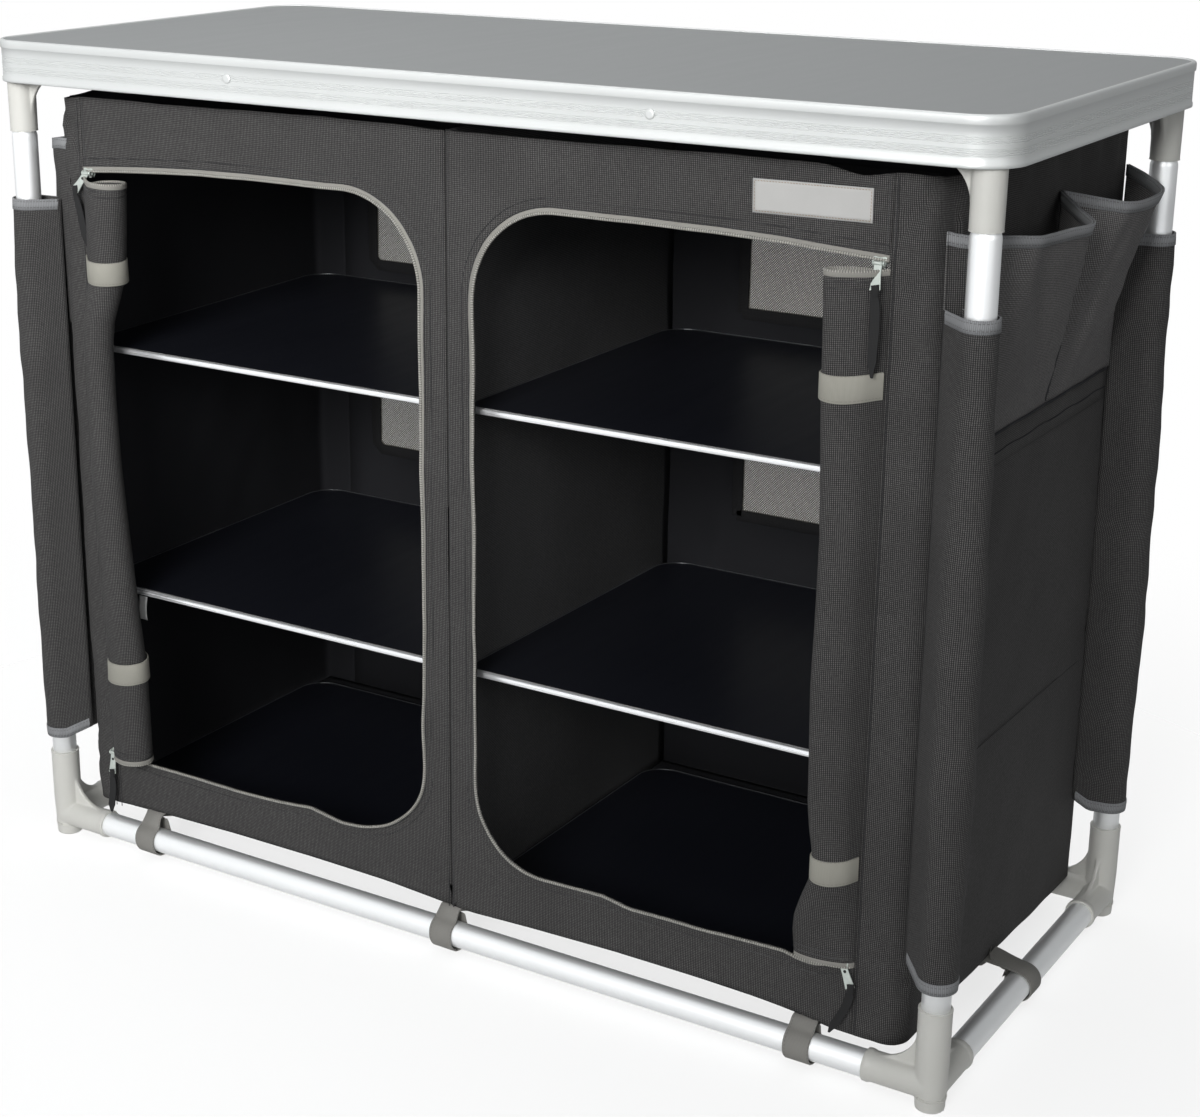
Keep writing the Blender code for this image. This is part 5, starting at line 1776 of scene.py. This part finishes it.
@dataclass
class RolledDoors:
    """The doors rolled up to the outer seams and tied with straps.

    Each row of the left table is one level of the roll: the height, the middle's
    distances from the cupboard's middle and to the front, the winding's two half
    widths, and how far its inner end is turned to the front. The right table has
    the height, the roll's reach from its seam and the two half widths, and
    right_turn has the turns.
    """

    roots: tuple[tuple[float, float], tuple[float, float]] = ((0.4310, -0.2078), (0.4220, -0.2078))
    ends: tuple[tuple[float, float], tuple[float, float]] = ((0.1085, 0.7172), (0.1085, 0.7175))
    drops: tuple[float, float] = (0.0026, 0.0007)
    cloth: float = 0.0014
    turns: float = 4.4
    columns: int = 150
    straps: tuple[tuple[float, float], tuple[float, float]] = ((0.2070, 0.6290), (0.2020, 0.6250))
    sags: tuple[tuple[float, float], tuple[float, float]] = ((0.0010, 0.0008), (0.0020, 0.0022))
    strap_width: float = 0.0227
    crowding: float = 1.25
    left: tuple = (
        (0.1085, 0.3979, -0.2160, 0.0238, 0.0180, 0.17),
        (0.1600, 0.3983, -0.2160, 0.0238, 0.0178, 0.17),
        (0.2145, 0.3985, -0.2162, 0.0234, 0.0174, 0.17),
        (0.2500, 0.4008, -0.2168, 0.0225, 0.0172, 0.17),
        (0.3000, 0.4040, -0.2178, 0.0206, 0.0170, 0.20),
        (0.3700, 0.4062, -0.2195, 0.0182, 0.0158, 0.25),
        (0.4300, 0.4075, -0.2217, 0.0162, 0.0148, 0.30),
        (0.5000, 0.4082, -0.2226, 0.0152, 0.0145, 0.30),
        (0.5550, 0.4082, -0.2226, 0.0150, 0.0144, 0.30),
        (0.5800, 0.4065, -0.2215, 0.0160, 0.0148, 0.25),
        (0.6000, 0.4025, -0.2190, 0.0180, 0.0160, 0.20),
        (0.6290, 0.3968, -0.2164, 0.0203, 0.0170, 0.17),
        (0.6710, 0.3947, -0.2158, 0.0214, 0.0176, 0.17),
        (0.7160, 0.3931, -0.2153, 0.0221, 0.0178, 0.17))
    right_width: tuple = (
        (0.1085, 0.0566, 0.0278, 0.0090), (0.1340, 0.0582, 0.0284, 0.0088),
        (0.1520, 0.0560, 0.0268, 0.0092), (0.1720, 0.0492, 0.0226, 0.0106),
        (0.1880, 0.0430, 0.0190, 0.0120), (0.2020, 0.0408, 0.0180, 0.0125),
        (0.2160, 0.0412, 0.0182, 0.0124), (0.2350, 0.0440, 0.0192, 0.0122),
        (0.2600, 0.0464, 0.0200, 0.0120), (0.3660, 0.0484, 0.0208, 0.0118),
        (0.4930, 0.0464, 0.0200, 0.0120), (0.6250, 0.0506, 0.0212, 0.0116),
        (0.6700, 0.0518, 0.0220, 0.0112), (0.7175, 0.0528, 0.0226, 0.0106))
    right_turn: tuple = ((0.1085, 0.10), (0.1340, 0.16), (0.1850, 0.36), (0.2100, 0.42))
    tilts: tuple[tuple[float, float], tuple[float, float]] = ((0.0060, 0.0), (0.0, 0.0))

    def oval(self, z: float, side: Side) -> tuple[np.ndarray, float, float, float]:
        """Give a roll's middle, its two half widths and its turn at a height."""
        if side is Side.LEFT:
            table = np.array(self.left).T
            x, y, wide, deep, turn = (float(np.interp(z, table[0], row)) for row in table[1:])
        else:
            table = np.array(self.right_width).T
            reach, wide, deep = (float(np.interp(z, table[0], row)) for row in table[1:])
            turn = float(np.interp(z, *zip(*self.right_turn)))
            root = self.roots[1]
            x = root[0] - (reach - wide) * math.cos(turn)
            y = root[1] - (reach - wide) * math.sin(turn)
        way = side.value
        slack = 1 + 0.010 * math.sin(z * 23 + way) + 0.008 * math.sin(z * 51 + 2 * way)
        return np.array((x, y)), wide * slack, deep * slack, turn

    def around(self, z: float, side: Side, grow: float, turns: float, steps: int) -> np.ndarray:
        """Give a path from the seam that meets the roll's front and winds inward.

        Args:
            z: the height.
            side: which door.
            grow: how far outside the roll the path starts.
            turns: how many turns it makes.
            steps: how many points one turn has.

        Returns:
            Rows of X and Y, on the right-hand half.
        """
        middle, wide, deep, turn = self.oval(z, side)
        wide, deep = wide + grow, deep + grow
        root = np.array(self.roots[side is Side.RIGHT])
        along = np.array((math.cos(turn), math.sin(turn)))
        across = np.array((-along[1], along[0]))
        local = np.array(((root - middle) @ along / wide, (root - middle) @ across / deep))
        lean = math.acos(min(1.0, 1.0 / float(np.linalg.norm(local))))
        start = math.atan2(local[1], local[0]) - lean
        path = [tuple(root)]
        for i in range(int(turns * steps) + 1):
            share = i / steps
            angle = start - share * TAU
            left = 1 - share * 0.12 if turns < 1 else max(1 - share / (self.turns + 0.7), 0.08)
            wobble = 1 + 0.012 * math.sin(3 * angle + z * 12)
            path.append(tuple(middle + along * wide * left * wobble * math.cos(angle)
                              + across * deep * left * wobble * math.sin(angle)))
        return np.array(path)

    def section(self, z: float, side: Side) -> np.ndarray:
        """Give the cloth's plan at a height, with more points on its outer turn."""
        path = self.around(z, side, 0.0, self.turns, 34)
        along = travelled(path)
        places = np.linspace(0, 1, self.columns) ** self.crowding * along[-1]
        return np.stack([np.interp(places, along, path[:, i]) for i in (0, 1)], axis=1)

    def build(self, finishes: Finishes) -> None:
        """Build both rolled doors."""
        shares = np.linspace(0, 1, self.columns) ** self.crowding
        for side in Side:
            right = side is Side.RIGHT
            low, high = self.ends[right]
            drop = self.drops[right] * self.turns * shares
            rows = []
            for z in np.linspace(low, high, 76):
                share = 2 * (z - low) / (high - low) - 1
                x, y = self.section(float(z), side).T
                rows.append(np.column_stack([side.value * x, y, z - share * drop]))
            points = np.array(rows)
            parts = [thicken(grid_mesh("roll", points, finishes.cloth), self.cloth)]
            for row, way in ((-1, 1), (0, -1)):
                path = points[row]
                middle = path[90:].mean(0)
                out = (path - middle) * (1, 1, 0) + (1e-6, 0, 0)
                parts.append(sweep("tape", path - (0, 0, way * 0.0018), strip(0.0011, 0.0044),
                                   out, finishes.tape))
                parts.append(sweep("teeth", path + (0, 0, way * 0.0003), disc(0.0013, 8), out,
                                   finishes.teeth))
                for inset in (0.0078, 0.0135):
                    level = float(path[0, 2]) - way * inset
                    x, y = self.section(level, side)[4:58].T
                    line = np.column_stack([side.value * x, y, np.full_like(x, level)])
                    away = (line - middle) * (1, 1, 0)
                    away /= np.linalg.norm(away, axis=1)[:, None]
                    parts.append(sew(line + away * self.cloth * 0.6, away, finishes))
            obj = merge(f"rolled_door_{side.word}", *parts)
            place(obj, side.door, "cloth", f"door_roll_{side.word}")
            for name, z, sag, tilt in zip(("lower", "upper"), self.straps[right],
                                          self.sags[right], self.tilts[right]):
                self.strap(finishes, side, name, z, sag, tilt)

    def strap(
        self, finishes: Finishes, side: Side, name: str, z: float, sag: float, tilt: float
    ) -> None:
        """Build one strap from the seam round the roll and back to the seam.

        Args:
            finishes: the materials.
            side: which door.
            name: lower or upper.
            z: the strap's height at the seam.
            sag: how far its front droops.
            tilt: how far it rises on its way round the front.
        """
        root = self.roots[side is Side.RIGHT]
        ring = self.around(z, side, self.cloth / 2 + 0.0003, 0.74, 40)
        ring[0] = (root[0] - 0.0006, root[1] - 0.0016)
        plan = smooth_path([*ring, (root[0] - 0.008, root[1] + 0.0024)], 64, 2)
        s = np.linspace(0, 1, len(plan))
        droop = -sag * np.exp(-((s - 0.36) / 0.20) ** 2) + 0.0045 * np.clip((s - 0.55) / 0.45, 0, 1)
        droop += tilt * np.clip(s / 0.5, 0, 1)
        path = np.array([(side.value * x, y, z + d) for (x, y), d in zip(plan, droop)])
        middle = self.oval(z, side)[0]
        out = path - np.array((side.value * middle[0], middle[1], z))
        out[:, 2] = 0
        if side is Side.RIGHT:
            path, out = path[::-1], out[::-1]
        obj = sweep(f"door_strap_{name}_{side.word}", path, strip(0.0013, self.strap_width), out,
                    finishes.strap)
        place(obj, side.door, "webbing")


@dataclass
class Zips:
    """The sliders at the ends of the zips and their pull tabs with ribbons."""

    spots: dict[str, tuple[float, float]] = field(default_factory=lambda: {
        "upper_left": (0.4225, 0.7215), "upper_right": (0.4140, 0.7232),
        "lower_left": (0.4310, 0.1069), "lower_right": (0.4137, 0.1105)})
    seam_y: float = -0.207
    pin: float = 0.0054
    tab: float = 0.0225
    hang: dict[str, tuple[float, float, float, float]] = field(default_factory=lambda: {
        "upper_left": (-0.68, 0.016, 0.10, 0.056), "upper_right": (0.13, 0.002, 0.52, 0.068),
        "lower_left": (-0.04, -0.003, 0.12, 0.044), "lower_right": (0.42, -0.017, 0.12, 0.046)})

    def build(self, finishes: Finishes) -> None:
        """Build every slider and pull tab."""
        for side in Side:
            for level in ("upper", "lower"):
                self.slider(finishes, side, level)
                self.puller(finishes, side, level)

    def slider(self, finishes: Finishes, side: Side, level: str) -> None:
        """Build one slider: two waisted plates, a bridge and a pin."""
        reach, z = self.spots[f"{level}_{side.word}"]
        x = side.value * reach
        way = -1 if level == "upper" else 1
        outline = [(-0.0058, 0.0046), (-0.0040, 0.0050), (0, 0.0042), (0.0040, 0.0050),
                   (0.0058, 0.0046), (0.0052, -0.0010), (0.0036, -0.0046), (-0.0036, -0.0046),
                   (-0.0052, -0.0010)]
        parts = []
        for y0, y1 in ((-0.0026, -0.0013), (0.0013, 0.0025)):
            rows = np.array([[(x + u, self.seam_y + y, z - way * v) for u, v in outline]
                             for y in (y0, y1)])
            parts.append(soften(block("plate", rows, finishes.metal), 0.0005))
        half = 0.0012
        core = np.array([[(x + u, self.seam_y + v, z - way * h) for u, v in
                          ((-half, -0.0015), (half, -0.0015), (half, 0.0015), (-half, 0.0015))]
                         for h in (0.0008, 0.0040)])
        parts.append(block("core", core, finishes.metal))
        bridge = ((-0.0022, -0.0022), (-0.0056, -0.0018), (-0.0068, 0.0), (-0.0056, 0.0018),
                  (-0.0022, 0.0022))
        for gap in (-0.0046, 0.0046):
            path = [(x + gap, self.seam_y + out, z + up) for out, up in bridge]
            parts.append(sweep("bridge", smooth_path(path, 14, 1), disc(0.0007, 8), (1, 0, 0),
                               finishes.metal))
        pin = revolve("pin", [(0.0006, -0.0050), (0.0006, 0.0050)], finishes.metal, 12)
        parts.append(move(pin, (x, self.seam_y - self.pin, z), "X"))
        obj = merge(f"slider_{level}_{side.word}", *parts)
        place(obj, side.door, "zip", f"zip_slider_{level}_{side.word}")

    def puller(self, finishes: Finishes, side: Side, level: str) -> None:
        """Build one pull tab: a waisted metal tab on the pin and a flat knotted ribbon."""
        reach, z = self.spots[f"{level}_{side.word}"]
        x, y = side.value * reach, self.seam_y - self.pin
        lean, drift, swing, ribbon = self.hang[f"{level}_{side.word}"]
        outline = [(-0.0034, 0.0018), (0.0034, 0.0018), (0.0035, -0.0015), (0.0033, -0.0055),
                   (0.0036, -0.0120), (0.0046, -self.tab), (0.0030, -self.tab + 0.0005),
                   (0.0, -self.tab + 0.0013), (-0.0030, -self.tab + 0.0005), (-0.0046, -self.tab),
                   (-0.0036, -0.0120), (-0.0033, -0.0055), (-0.0035, -0.0015)]
        ca, sa = math.cos(lean), math.sin(lean)
        cs, ss = math.cos(swing), math.sin(swing)
        turned = [(u * ca - v * sa, v * ca + u * sa) for u, v in outline]
        rows = np.array([[(x + a, y + d + b * ss, z + b * cs) for a, b in turned]
                         for d in (-0.0007, 0.0007)])
        tab = soften(block("tab", rows, finishes.metal), 0.0004)
        eye = revolve("eye", [(0.0014, -0.0037), (0.0019, -0.0034), (0.0019, 0.0034),
                              (0.0014, 0.0037)], finishes.metal, 16)
        move(eye, (x, y, z), "X")
        hole = revolve("hole", [(0.0010, -0.0009), (0.0014, -0.0009), (0.0014, 0.0009),
                                (0.0010, 0.0009)], finishes.ribbon, 14)
        depth = 0.0068
        move(hole, (x + depth * sa, y - depth * ca * ss, z - depth * ca * cs), "Y")
        end = np.array((x + self.tab * sa, y - self.tab * ca * ss - 0.0004, z - self.tab * ca * cs))
        knot = [end + (0, 0, 0.0044), end + (0.0009, -0.0006, 0.0006), end + (0, 0, -0.0040)]
        parts = [tab, eye, hole, sweep("knot", smooth_path(knot, 8, 1), disc(0.0034, 10, 0.55),
                                       (0, 1, 0), finishes.ribbon)]
        twist = np.linspace(0, 1, 26)
        start = end - (0, 0, 0.002)
        path = np.stack([start[0] + drift * twist ** 1.3 + 0.0010 * np.sin(twist * 5),
                         start[1] + 0.0003 * np.sin(twist * 7), start[2] - twist * ribbon], axis=1)
        width = np.interp(twist, [0, 0.10, 0.80, 1], [0.0026, 0.0042, 0.0040, 0.0010])
        rows = []
        for point, half, t in zip(path, width, twist):
            angle = 0.35 * math.sin(t * 3 + side.value)
            cu, su = math.cos(angle), math.sin(angle)
            rows.append([(point[0] + u * cu, point[1] + u * su * 0.4 + v, point[2])
                         for u, v in ((-half, -0.0006), (half, -0.0006), (half, 0.0006),
                                      (-half, 0.0006))])
        parts.append(block("ribbon", np.array(rows), finishes.ribbon))
        obj = merge(f"pull_tab_{level}_{side.word}", *parts)
        place(obj, f"zip_pull_{level}_{side.word}", "ribbon", f"zip_puller_{level}_{side.word}")


@dataclass
class Shelves:
    """Four shelves and two floor boards, edged in bright aluminium."""

    near: float = 0.0022
    far: float = 0.4655
    tilts: tuple[tuple[float, float], ...] = ((0.0020, 0.0060), (-0.0026, -0.0006))
    floor_back: float = 0.180
    floor_z: float = 0.0502
    front: float = -0.1882
    back: float = 0.2050
    corner: float = 0.030
    thickness: float = 0.0040
    levels: tuple[float, float] = (0.2855, 0.541)
    edge: float = 0.0052

    def outline(self, side: Side, back: float, z: float, tilt: float) -> np.ndarray:
        """Give a board's edge with round back corners, raised towards the back by a tilt."""
        points = [(self.near, self.front), (self.far, self.front)]
        points += arc(self.far - self.corner, back - self.corner, self.corner, 0, 90, 12)
        points += arc(self.near + self.corner, back - self.corner, self.corner, 90, 180, 12)
        plan = np.array(points)
        rise = tilt * (plan[:, 1] - self.front) / (back - self.front)
        return np.column_stack([plan[:, 0] * side.value, plan[:, 1], z + rise])

    def build(self, finishes: Finishes) -> None:
        """Build the boards."""
        for side in Side:
            tilts = self.tilts[side is Side.RIGHT]
            for name, z, tilt in zip(("middle", "upper"), self.levels, tilts):
                line = self.outline(side, self.back, z, tilt)
                self.board(finishes, f"shelf_{side.word}_{name}", line, True)
            line = self.outline(side, self.floor_back, self.floor_z, 0.0)
            self.board(finishes, f"floor_board_{side.word}", line, False)

    def board(self, finishes: Finishes, node: str, line: np.ndarray, edged: bool) -> None:
        """Build one board with its edging.

        Args:
            finishes: the materials.
            node: the CAD node.
            line: the board's edge, from the front corner by the divider.
            edged: whether its front has a bright strip.
        """
        half = self.thickness / 2
        board = block("board", np.array([line + (0, 0, h) for h in (-half, half)]), finishes.shelf)
        board.data.shade_flat()
        rim = np.vstack([line[1:], line[:1]])
        out = (rim - line.mean(0)) * (1, 1, 0)
        tall = self.edge / 2
        low, high = -tall + 0.0004, tall - 0.0004
        section = [(-0.0010, low), (0.0004, low), (0.0004, high), (-0.0010, high)]
        # The thin trim round each board wears the darker copy of the aluminium, which is painted
        # shade.
        parts = [board, sweep("thin_edge", rim, section, out, finishes.thin_edge)]
        if edged:
            section = [(-0.0050, -tall), (0.0, -tall), (0.0007, -tall + 0.0007),
                       (0.0007, tall - 0.0007), (0.0, tall), (-0.0050, tall)]
            parts.append(sweep("front_edge", line[:2], section, (0, -1, 0), finishes.edge))
        place(merge(f"board_{node}", *parts), Body.FRAME, "shelf", node)


@dataclass
class RailStraps:
    """Webbing loops sewn under the body and laid round the lower rails."""

    rail_z: float = LOWER_RAIL_Z
    rail_y: float = LEG_Y
    rail_x: float = LEG_X
    radius: float = LOOP_RADIUS
    sewn_z: float = 0.0398
    front_z: tuple[float, float, float] = (0.0500, 0.0468, 0.0445)
    width: float = LOOP_WIDTH
    spread: float = 0.379

    def build(self, finishes: Finishes) -> None:
        """Build the eight loops."""
        for end in End:
            for i, word in enumerate(("left", "middle", "right")):
                x = (i - 1) * self.spread
                sewn = self.front_z[i] if end is End.FRONT else self.sewn_z
                self.loop(finishes, f"{end.word}_{word}", x, end.value, True, sewn)
        for side in Side:
            self.loop(finishes, side.word, 0.0, side.value, False, self.sewn_z)

    def loop(
        self, finishes: Finishes, name: str, along: float, sign: int, long_rail: bool, sewn: float
    ) -> None:
        """Build one loop, a little slack on its rail, with the sewn tail under the cloth.

        Args:
            finishes: the materials.
            name: the end of the CAD node's name.
            along: where it lies along the rail.
            sign: which way is outward.
            long_rail: whether the rail runs along X.
            sewn: the height at which its ends are sewn to the cloth.
        """
        depth = self.rail_y if long_rail else self.rail_x
        wall = (0.2045 if long_rail else 0.4665) - depth
        rise = sewn - self.rail_z
        seed = sum(ord(letter) for letter in name)
        slack = 0.0012 + 0.0006 * math.sin(seed)
        ring = [((self.radius + slack * max(0.0, -math.sin(a))) * math.cos(a),
                 (self.radius + slack * max(0.0, -math.sin(a)) * 1.5) * math.sin(a))
                for a in np.radians(np.linspace(80, -215, 30))]
        plan = [(wall - 0.004, rise - 0.0004), (wall + 0.004, rise - 0.0006), *ring,
                (wall - 0.001, rise - 0.0045), (wall - 0.004, rise - 0.0030)]
        plan = smooth_path(plan, 54, 2)
        skew = 0.0025 * math.sin(seed * 1.7)
        shift = along + skew * np.sin(np.linspace(0, TAU, len(plan)))
        path = np.column_stack([sign * (depth + plan[:, 0]), shift, self.rail_z + plan[:, 1]])
        out = path - (sign * depth, along, self.rail_z)
        out[:, 1] = 0
        if long_rail:
            path, out = path[:, [1, 0, 2]], out[:, [1, 0, 2]]
        obj = sweep(f"rail_strap_{name}", path, strip(0.0014, self.width), out, finishes.loop)
        place(obj, Body.FRAME, "webbing", f"rail_loop_{name}")


@dataclass
class Labels:
    """The bare patch on the front and a small blank tag on a shelf."""

    x: float = 0.3535
    z: float = 0.7665
    width: float = 0.105
    height: float = 0.0276
    tilt: float = 0.012
    tag_corner: tuple[float, float, float] = (-0.4088, -0.1840, 0.2800)
    tag_size: tuple[float, float] = (0.011, 0.025)

    def build(self, finishes: Finishes, body: ClothBody) -> None:
        """Build the patch and the tag."""
        u, v = np.meshgrid(np.linspace(0, self.width, 24), np.linspace(0, self.height, 8))
        right, up = u - self.width / 2, v - self.height / 2
        x = self.x + right * math.cos(self.tilt) - up * math.sin(self.tilt)
        z = self.z + up * math.cos(self.tilt) + right * math.sin(self.tilt)
        y = body.face(x, z) - 0.0008
        patch = grid_mesh("bare_patch", layers(x, y, z), finishes.patch,
                          uv=layers(u, v))
        thicken(patch, 0.0009)
        place(patch, Body.FRAME, "label", "label_patch")

        wide, tall = self.tag_size
        left, near, top = self.tag_corner
        u, v = np.meshgrid(np.linspace(0, wide, 5), np.linspace(0, tall, 9))
        curl = 0.0025 * np.sin(v / tall * 2.4)
        points = layers(left + u, near - curl, top - v)
        tag = grid_mesh("blank_tag", points, finishes.tag, uv=layers(u, v))
        thicken(tag, 0.0004)
        place(tag, Body.FRAME, "label")


# Stage


@dataclass
class Studio:
    """The pale floor, the soft light and the camera of the photograph."""

    eye: tuple[float, float, float] = (1.12278, -1.82338, 1.06714)
    yaw: float = 0.57773
    pitch: float = 0.31115
    lens: float = 67.589
    shift: tuple[float, float] = (0.07333, -0.02792)
    bright_way: tuple[float, float, float] = (-0.20, -0.72, 0.66)
    soft_levels: tuple[float, float, float, float] = (-0.75, 0.85, 0.02, 0.34)
    shine_levels: tuple[float, float, float, float] = (-0.20, 0.40, 0.42, 1.12)

    def build(self) -> None:
        """Build the stage."""
        self.camera()
        self.floor()
        self.world()
        self.lamps()
        bpy.context.scene.view_settings.view_transform = "Standard"

    def camera(self) -> None:
        """Stand the camera where the photograph was taken."""
        data = bpy.data.cameras.new("photo_camera")
        data.lens = self.lens
        data.sensor_width = 36.0
        data.sensor_fit = "HORIZONTAL"
        data.shift_x, data.shift_y = self.shift
        data.clip_start, data.clip_end = 0.05, 50.0
        obj = show("photo_camera", data)
        cos_p = math.cos(self.pitch)
        look = (-math.sin(self.yaw) * cos_p, math.cos(self.yaw) * cos_p, -math.sin(self.pitch))
        self.aim(obj, self.eye, Vector(look))
        bpy.context.scene.camera = obj

    @staticmethod
    def aim(obj: Piece, spot: Sequence[float], look: Vector) -> None:
        """Stand a lamp or the camera at a spot and turn it to look along a direction."""
        obj.location = spot
        obj.rotation_mode = "QUATERNION"
        obj.rotation_quaternion = look.to_track_quat("-Z", "Y")

    def floor(self) -> None:
        """Lay a pale floor just under the feet that fades into the white far off."""
        size, z = 3.0, -0.0002
        rows = np.array([[(x, y, z) for x in (-size, size)] for y in (-size, size)])
        graph = Graph("pale_floor")
        x, y = graph.split(graph.place())
        away = (x * x * 0.8 + y * y) ** 0.5
        fade = graph.node("ShaderNodeMapRange", {"interpolation_type": "SMOOTHSTEP"},
                          {0: away, 1: 0.35, 2: 1.5, 3: 0.42, 4: 0.0})
        material = graph.dress(base_color=(0.92, 0.92, 0.92), roughness=0.9,
                               emission_color=(1.0, 1.0, 1.0), emission_strength=0.42,
                               alpha=Signal(graph, fade.outputs[0]))
        grid_mesh("floor", rows, material)

    def world(self) -> None:
        """Show white behind everything, and light more from the front left than from the right."""
        world = bpy.data.worlds.new("studio")
        bpy.context.scene.world = world
        world.use_nodes = True
        world.node_tree.nodes.clear()
        tree = NodeTree(world.node_tree)
        where = tree.node("ShaderNodeTexCoord").outputs["Generated"]
        facing = tree.node("ShaderNodeVectorMath", {"operation": "DOT_PRODUCT"},
                           {0: where, 1: self.bright_way}).outputs["Value"]
        path = tree.node("ShaderNodeLightPath").outputs
        levels = [tree.node("ShaderNodeMapRange", {"interpolation_type": "SMOOTHSTEP"},
                            {0: facing, 1: start, 2: end, 3: low, 4: high}).outputs[0]
                  for start, end, low, high in (self.soft_levels, self.shine_levels)]
        level = tree.node("ShaderNodeMix", inputs={0: path["Is Glossy Ray"], 2: levels[0],
                                                   3: levels[1]})
        seen = Signal(tree, path["Is Camera Ray"]).larger(path["Is Transmission Ray"])
        soft = tree.node("ShaderNodeBackground", inputs={"Color": (0.96, 0.98, 1.0, 1.0),
                                                         "Strength": level.outputs[0]})
        white = tree.node("ShaderNodeBackground", inputs={"Color": (1.0, 1.0, 1.0, 1.0),
                                                          "Strength": 1.0})
        mixed = tree.node("ShaderNodeMixShader", inputs={0: seen, 1: soft.outputs[0],
                                                         2: white.outputs[0]})
        tree.node("ShaderNodeOutputWorld", inputs={0: mixed.outputs[0]})

    def lamps(self) -> None:
        """Hang one large soft lamp at the front, one above and a weak one at the right."""
        for name, spot, aim, size, power, spread in (
            ("key_lamp", (0.5, -3.2, 2.0), (-0.40, -0.2, 1.10), 1.7, 17.2, 56.0),
            ("top_lamp", (-0.4, 0.5, 3.4), (0, 0, 0.8), 2.2, 18.0, 180.0),
            ("right_lamp", (3.4, -1.4, 1.6), (0.4, 0, 0.80), 1.4, 1.7, 64.0),
        ):
            data = bpy.data.lights.new(name, "AREA")
            data.shape = "DISK"
            data.size = size
            data.energy = power
            data.spread = math.radians(spread)
            self.aim(show(name, data), spot, Vector(aim) - Vector(spot))


def main() -> None:
    """Build the cupboard's looks piece by piece."""
    logging.basicConfig(level=logging.INFO, format="%(name)s %(message)s")
    Studio().build()
    finishes = Finishes()
    TubeFrame().build(finishes)
    Worktop().build(finishes)
    body = ClothBody()
    body.build(finishes)
    Sleeves().build(finishes)
    SidePockets().build(finishes)
    RolledDoors().build(finishes)
    Zips().build(finishes)
    Shelves().build(finishes)
    RailStraps().build(finishes)
    Labels().build(finishes, body)


if __name__ == "__main__":
    main()
